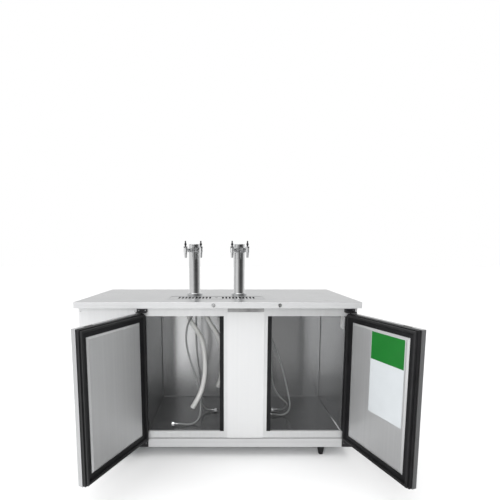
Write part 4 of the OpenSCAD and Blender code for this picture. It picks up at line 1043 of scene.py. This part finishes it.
def make_room():
    """The liner with coved corners, its side walls and floor in darker steel that paints shade, and the tray
    and grate with painted shade on their insides.
    """
    room = softened("room_lining", "liner", STEEL_ROOM, ROOM_COVE, in_room_corner, 3)
    # The side walls get the darker side steel: painted shade
    paint_faces(room, SIDE_SHADE_STEEL, lambda c, n: abs(n.x) > 0.9)
    # The floor and its coves get the darker floor steel: painted shade, which also dims the coves' highlights
    paint_faces(room, FLOOR_SHADE_STEEL, lambda c, n: n.z > 0.1 and c.z < ROOM_FLOOR + ROOM_COVE)
    finish_piece(room, "cabinet", "stainless", "liner")
    tray = softened("tray_pan", "drip_tray", STEEL_GRATE, TRAY_EDGE,
                    lambda a, b: min(a.z, b.z) > COUNTER_Z + 0.0005)
    # The basin's inner faces get painted shade
    paint_faces(tray, BASIN_SHADE_STEEL, lambda c, n: c.z < COUNTER_Z - 0.004)
    finish_piece(tray, "cabinet", "stainless", "drip_tray")
    grate_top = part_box("drip_grate")[1][2]
    grate = softened("lift_out_grate", "drip_grate", STEEL_GRATE, TRAY_EDGE,
                     lambda a, b: min(a.z, b.z) > grate_top - NEAR)
    # The grate's slot walls get painted shade
    paint_faces(grate, BASIN_SHADE_STEEL, lambda c, n: abs(n.z) < 0.5)
    finish_piece(grate, "drip_grate", "stainless", "drip_grate")


# The door seals: how far each point of the seal's outline lies inward and towards the cabinet
SEAL_PROFILE = [
    (0.0006, 0.0), (0.0124, 0.0), (0.0126, 0.0020), (0.0102, 0.0034), (0.0098, 0.0046), (0.0122, 0.0062),
    (0.0130, 0.0084), (0.0129, 0.0112), (0.0120, 0.0129), (0.0104, 0.0134), (0.0028, 0.0134),
    (0.0010, 0.0129), (0.0001, 0.0112), (0.0000, 0.0084), (0.0008, 0.0062), (0.0034, 0.0046),
    (0.0030, 0.0034), (0.0005, 0.0020),
]


def seal_shape(side):
    """A bellows seal swept round the door, with mitred corners."""
    low_u = DOOR_EDGE + GASKET_INSET
    high_u = DOOR_FAR - GASKET_INSET
    low_z = DOOR_LOW + GASKET_INSET
    high_z = DOOR_TOP - GASKET_INSET
    place = door_matrix(side)
    points = []
    faces = []
    count = len(SEAL_PROFILE)
    for corner in range(4):
        for inward, up in SEAL_PROFILE:
            u = low_u + inward if corner in (0, 3) else high_u - inward
            z = low_z + inward if corner in (0, 1) else high_z - inward
            points.append(place @ Vector((u, GASKET_V + up, z)))
    for corner in range(4):
        nxt = (corner + 1) % 4
        for k in range(count):
            m = (k + 1) % count
            faces.append((corner * count + k, corner * count + m, nxt * count + m, nxt * count + k))
    return points, faces


def make_seals():
    """The doors' magnetic seals."""
    for side in ("left", "right"):
        name = "door_seal_" + side
        piece = shape_piece(name, seal_shape(side), BLACK_RUBBER, 50)
        finish_piece(piece, side + "_door", "rubber", "door_gasket_" + side)


# The towers and the faucet levers
TOWER_SIDES = 96
TOWER_WALL = 0.002


def make_towers():
    """Tower columns turned with a rounded flange and a weld fillet."""
    r = TOWER_RADIUS
    z = COUNTER_Z
    top = COUNTER_Z + TOWER_HEIGHT
    profile = [(r - TOWER_WALL, z), (0.0516, z), (0.0520, z + 0.0008), (0.0520, z + 0.0126),
               (0.0518, z + 0.0142), (0.0511, z + 0.0155), (0.0500, z + 0.0160), (r + 0.0022, z + 0.0160),
               (r + 0.0008, z + 0.0166), (r, z + 0.0182), (r, top - 0.0042),
               (r - 0.0003, top - 0.004), (r - TOWER_WALL, top - 0.004)]
    last = (len(profile) - 1) * TOWER_SIDES
    shapes = []
    for x in TOWER_X:
        points, faces = lathe(profile, (x, TOWER_Y, 0), (0, 0, 1), sides=TOWER_SIDES)
        # The two end discs give way to the bore
        faces = faces[:-2]
        for k in range(TOWER_SIDES):
            nxt = (k + 1) % TOWER_SIDES
            faces.append((k, nxt, last + nxt, last + k))
        shapes.append((points, faces))
    piece = shape_piece("tower_tubes", join_shapes(shapes), CHROME, 35)
    finish_piece(piece, "cabinet", "chrome", "tower_columns")


def faucet_place(k):
    """The point on the spout's axis at the shank's height, and the way forward, for faucet k."""
    side = -1 if k % 2 == 0 else 1
    out = Vector((side * math.sin(FAUCET_TURN), -math.cos(FAUCET_TURN), 0))
    return Vector((TOWER_X[0 if k < 2 else 1], TOWER_Y, SHANK_Z)) + out * FAUCET_REACH, out


THREADS = 10
THREAD_START = 0.0274
THREAD_PITCH = 0.00152


def lever_profile():
    """A lever's outline from its ball up: stem, collar and a threaded stud."""
    profile = [(0.0005, -0.0074), (0.0035, -0.0065), (0.0060, -0.0043), (0.0073, -0.0012), (0.0073, 0.0012),
               (0.0062, 0.0040), (0.0045, 0.0058), (0.0045, 0.0140), (0.0068, 0.0142), (0.0076, 0.0150),
               (0.0076, 0.0258), (0.0070, 0.0268), (0.0048, 0.0270)]
    for turn in range(THREADS):
        z = THREAD_START + turn * THREAD_PITCH
        profile.extend([(0.0041, z), (0.00474, z + 0.0006), (0.00474, z + 0.0008)])
    profile.extend([(0.0041, 0.0426), (0.0036, 0.0430)])
    return profile


def make_levers():
    """The four faucet levers, each on its own body."""
    for k in range(4):
        base, _ = faucet_place(k)
        shape = lathe(lever_profile(), base + Vector((0, 0, LEVER_UP)), (0, 0, 1), sides=32)
        piece = shape_piece("lever_stud_%d" % (k + 1), shape, DARK_STEEL, 40)
        finish_piece(piece, "lever_%d" % (k + 1), "dark_steel", "faucet_lever_%d" % (k + 1))


# Blank plates
def plate_shape(place, u0, u1, z0, z1, v0, v1, cut):
    """A thin plate with clipped corners in a door's or wall's own frame."""
    outline = [(u0 + cut, z0), (u1 - cut, z0), (u1, z0 + cut), (u1, z1 - cut), (u1 - cut, z1), (u0 + cut, z1),
               (u0, z1 - cut), (u0, z0 + cut)]
    points = [place @ Vector((u, v, z)) for v in (v0, v1) for u, z in outline]
    faces = [tuple(range(8)), tuple(range(8, 16))]
    faces.extend((k, (k + 1) % 8, (k + 1) % 8 + 8, k + 8) for k in range(8))
    return points, faces


def make_blank_plates():
    """A blank card on the right door's pan and a blank plate on the room's right wall."""
    door = door_matrix("right")
    wall = Matrix.Translation((ROOM_RIGHT, 0, 0)) @ Matrix.Rotation(math.radians(90), 4, "Z")
    card = plate_shape(door, 0.205, 0.440, 0.421, 0.884, PAN_V + 0.0001, PAN_V + 0.0006, 0.001)
    band = plate_shape(door, 0.207, 0.438, 0.727, 0.882, PAN_V + 0.0006, PAN_V + 0.0008, 0.001)
    plate = plate_shape(wall, -0.242, -0.180, 0.828, 0.924, 0.0001, 0.0006, 0.003)
    finish_piece(shape_piece("blank_card", card, CARD_WHITE), "right_door", "clear_line")
    finish_piece(shape_piece("blank_card_band", band, CARD_GREEN), "right_door", "clear_line")
    finish_piece(shape_piece("blank_wall_plate", plate, PLATE_WHITE), "cabinet", "clear_line")


dress_nodes()
make_sheets()
make_painted_gap_shade()
make_room()
make_seals()
make_towers()
make_levers()
make_fittings()
make_blank_plates()


# Studio: the floor's reach, how matt its sheets are, and the grey cards on it as a tone and an outline
FLOOR_REACH = 30.0
STUDIO_ROUGH = 0.9
CARD_LIFT = 0.001
CARDS = {
    "front_card": (0.18, [(-1.6, -0.75), (1.9, -0.75), (1.9, -0.36), (-1.6, -0.36)]),
    "near_card": (0.06, [(-0.397, -0.75), (-0.339, -1.155), (-0.209, -2.05), (-0.137, -2.3), (0.12, -2.3),
                         (0.12, -1.75), (0.06, -1.3), (-0.04, -0.75)]),
    "right_card": (0.18, [(0.12, -2.05), (0.12, -3.0), (0.16, -3.43), (0.35, -6.5), (1.6, -FLOOR_REACH),
                          (FLOOR_REACH, -FLOOR_REACH), (FLOOR_REACH, -0.75), (0.46, -0.75),
                          (0.46, -1.3), (0.2, -2.05)]),
}


def studio_sheet(name, tone, points):
    """A flat matt sheet of the studio, not part of the object."""
    material, _, shader = new_material(name)
    shader.inputs["Base Color"].default_value = (tone, tone, tone, 1.0)
    shader.inputs["Roughness"].default_value = STUDIO_ROUGH
    mesh = bpy.data.meshes.new(name)
    mesh.from_pydata(points, [], [tuple(range(len(points)))])
    sheet = link_object(name, mesh, material)
    return sheet


def make_studio():
    """A pale floor with grey cards that only mirrors show, a surround with one darker side, and lamps."""
    bpy.context.scene.view_settings.view_transform = "Standard"
    corners = [(-1, -1), (1, -1), (1, 1), (-1, 1)]
    studio_sheet("floor", 0.9, [(x * FLOOR_REACH, y * FLOOR_REACH, 0) for x, y in corners])
    for name, (tone, outline) in CARDS.items():
        card = studio_sheet(name, tone, [(x, y, CARD_LIFT) for x, y in outline])
        card.visible_camera = False
        card.visible_diffuse = False
        card.visible_shadow = False
        card.visible_transmission = False

    world = bpy.data.worlds.new("Studio")
    bpy.context.scene.world = world
    world.use_nodes = True
    tree = world.node_tree
    tree.nodes.clear()
    place = tree.nodes.new("ShaderNodeTexCoord")
    shift = tree.nodes.new("ShaderNodeMapping")
    shift.inputs["Rotation"].default_value = (0, 0, math.radians(-35))
    parts = tree.nodes.new("ShaderNodeSeparateXYZ")
    ramp = tree.nodes.new("ShaderNodeValToRGB")
    ramp.color_ramp.elements[0].position = 0.0
    ramp.color_ramp.elements[0].color = (0.06, 0.06, 0.06, 1)
    ramp.color_ramp.elements[1].position = 0.34
    ramp.color_ramp.elements[1].color = (1, 1, 1, 1)
    middle = ramp.color_ramp.elements.new(0.12)
    middle.color = (0.25, 0.25, 0.25, 1)
    lift = tree.nodes.new("ShaderNodeMapRange")
    lift.inputs["From Min"].default_value = -1.0
    lift.inputs["From Max"].default_value = 1.0
    around = tree.nodes.new("ShaderNodeBackground")
    plain = tree.nodes.new("ShaderNodeBackground")
    seen = tree.nodes.new("ShaderNodeLightPath")
    mix = tree.nodes.new("ShaderNodeMixShader")
    out = tree.nodes.new("ShaderNodeOutputWorld")
    around.inputs["Strength"].default_value = 0.9
    plain.inputs["Color"].default_value = (1, 1, 1, 1)
    for made, taken in ((place.outputs["Generated"], shift.inputs["Vector"]),
                        (shift.outputs["Vector"], parts.inputs["Vector"]),
                        (parts.outputs["Y"], lift.inputs["Value"]),
                        (lift.outputs["Result"], ramp.inputs["Fac"]),
                        (ramp.outputs["Color"], around.inputs["Color"]),
                        (seen.outputs["Is Camera Ray"], mix.inputs["Fac"]),
                        (around.outputs["Background"], mix.inputs[1]),
                        (plain.outputs["Background"], mix.inputs[2]),
                        (mix.outputs["Shader"], out.inputs["Surface"])):
        tree.links.new(made, taken)

    sky = bpy.data.lights.new("Even top light", "SUN")
    sky.energy = 1.6
    sky.angle = math.radians(70)
    lamp = bpy.data.objects.new("Even top light", sky)
    lamp.rotation_euler = (math.radians(18), math.radians(-10), 0)
    bpy.context.collection.objects.link(lamp)
    front = bpy.data.lights.new("Front light", "AREA")
    front.shape = "RECTANGLE"
    front.size = 2.4
    front.size_y = 1.2
    front.energy = 50.0
    lamp = bpy.data.objects.new("Front light", front)
    lamp.visible_glossy = False
    lamp.location = (-0.3, -3.4, 1.7)
    lamp.rotation_euler = (math.radians(72), 0, 0)
    bpy.context.collection.objects.link(lamp)


make_studio()
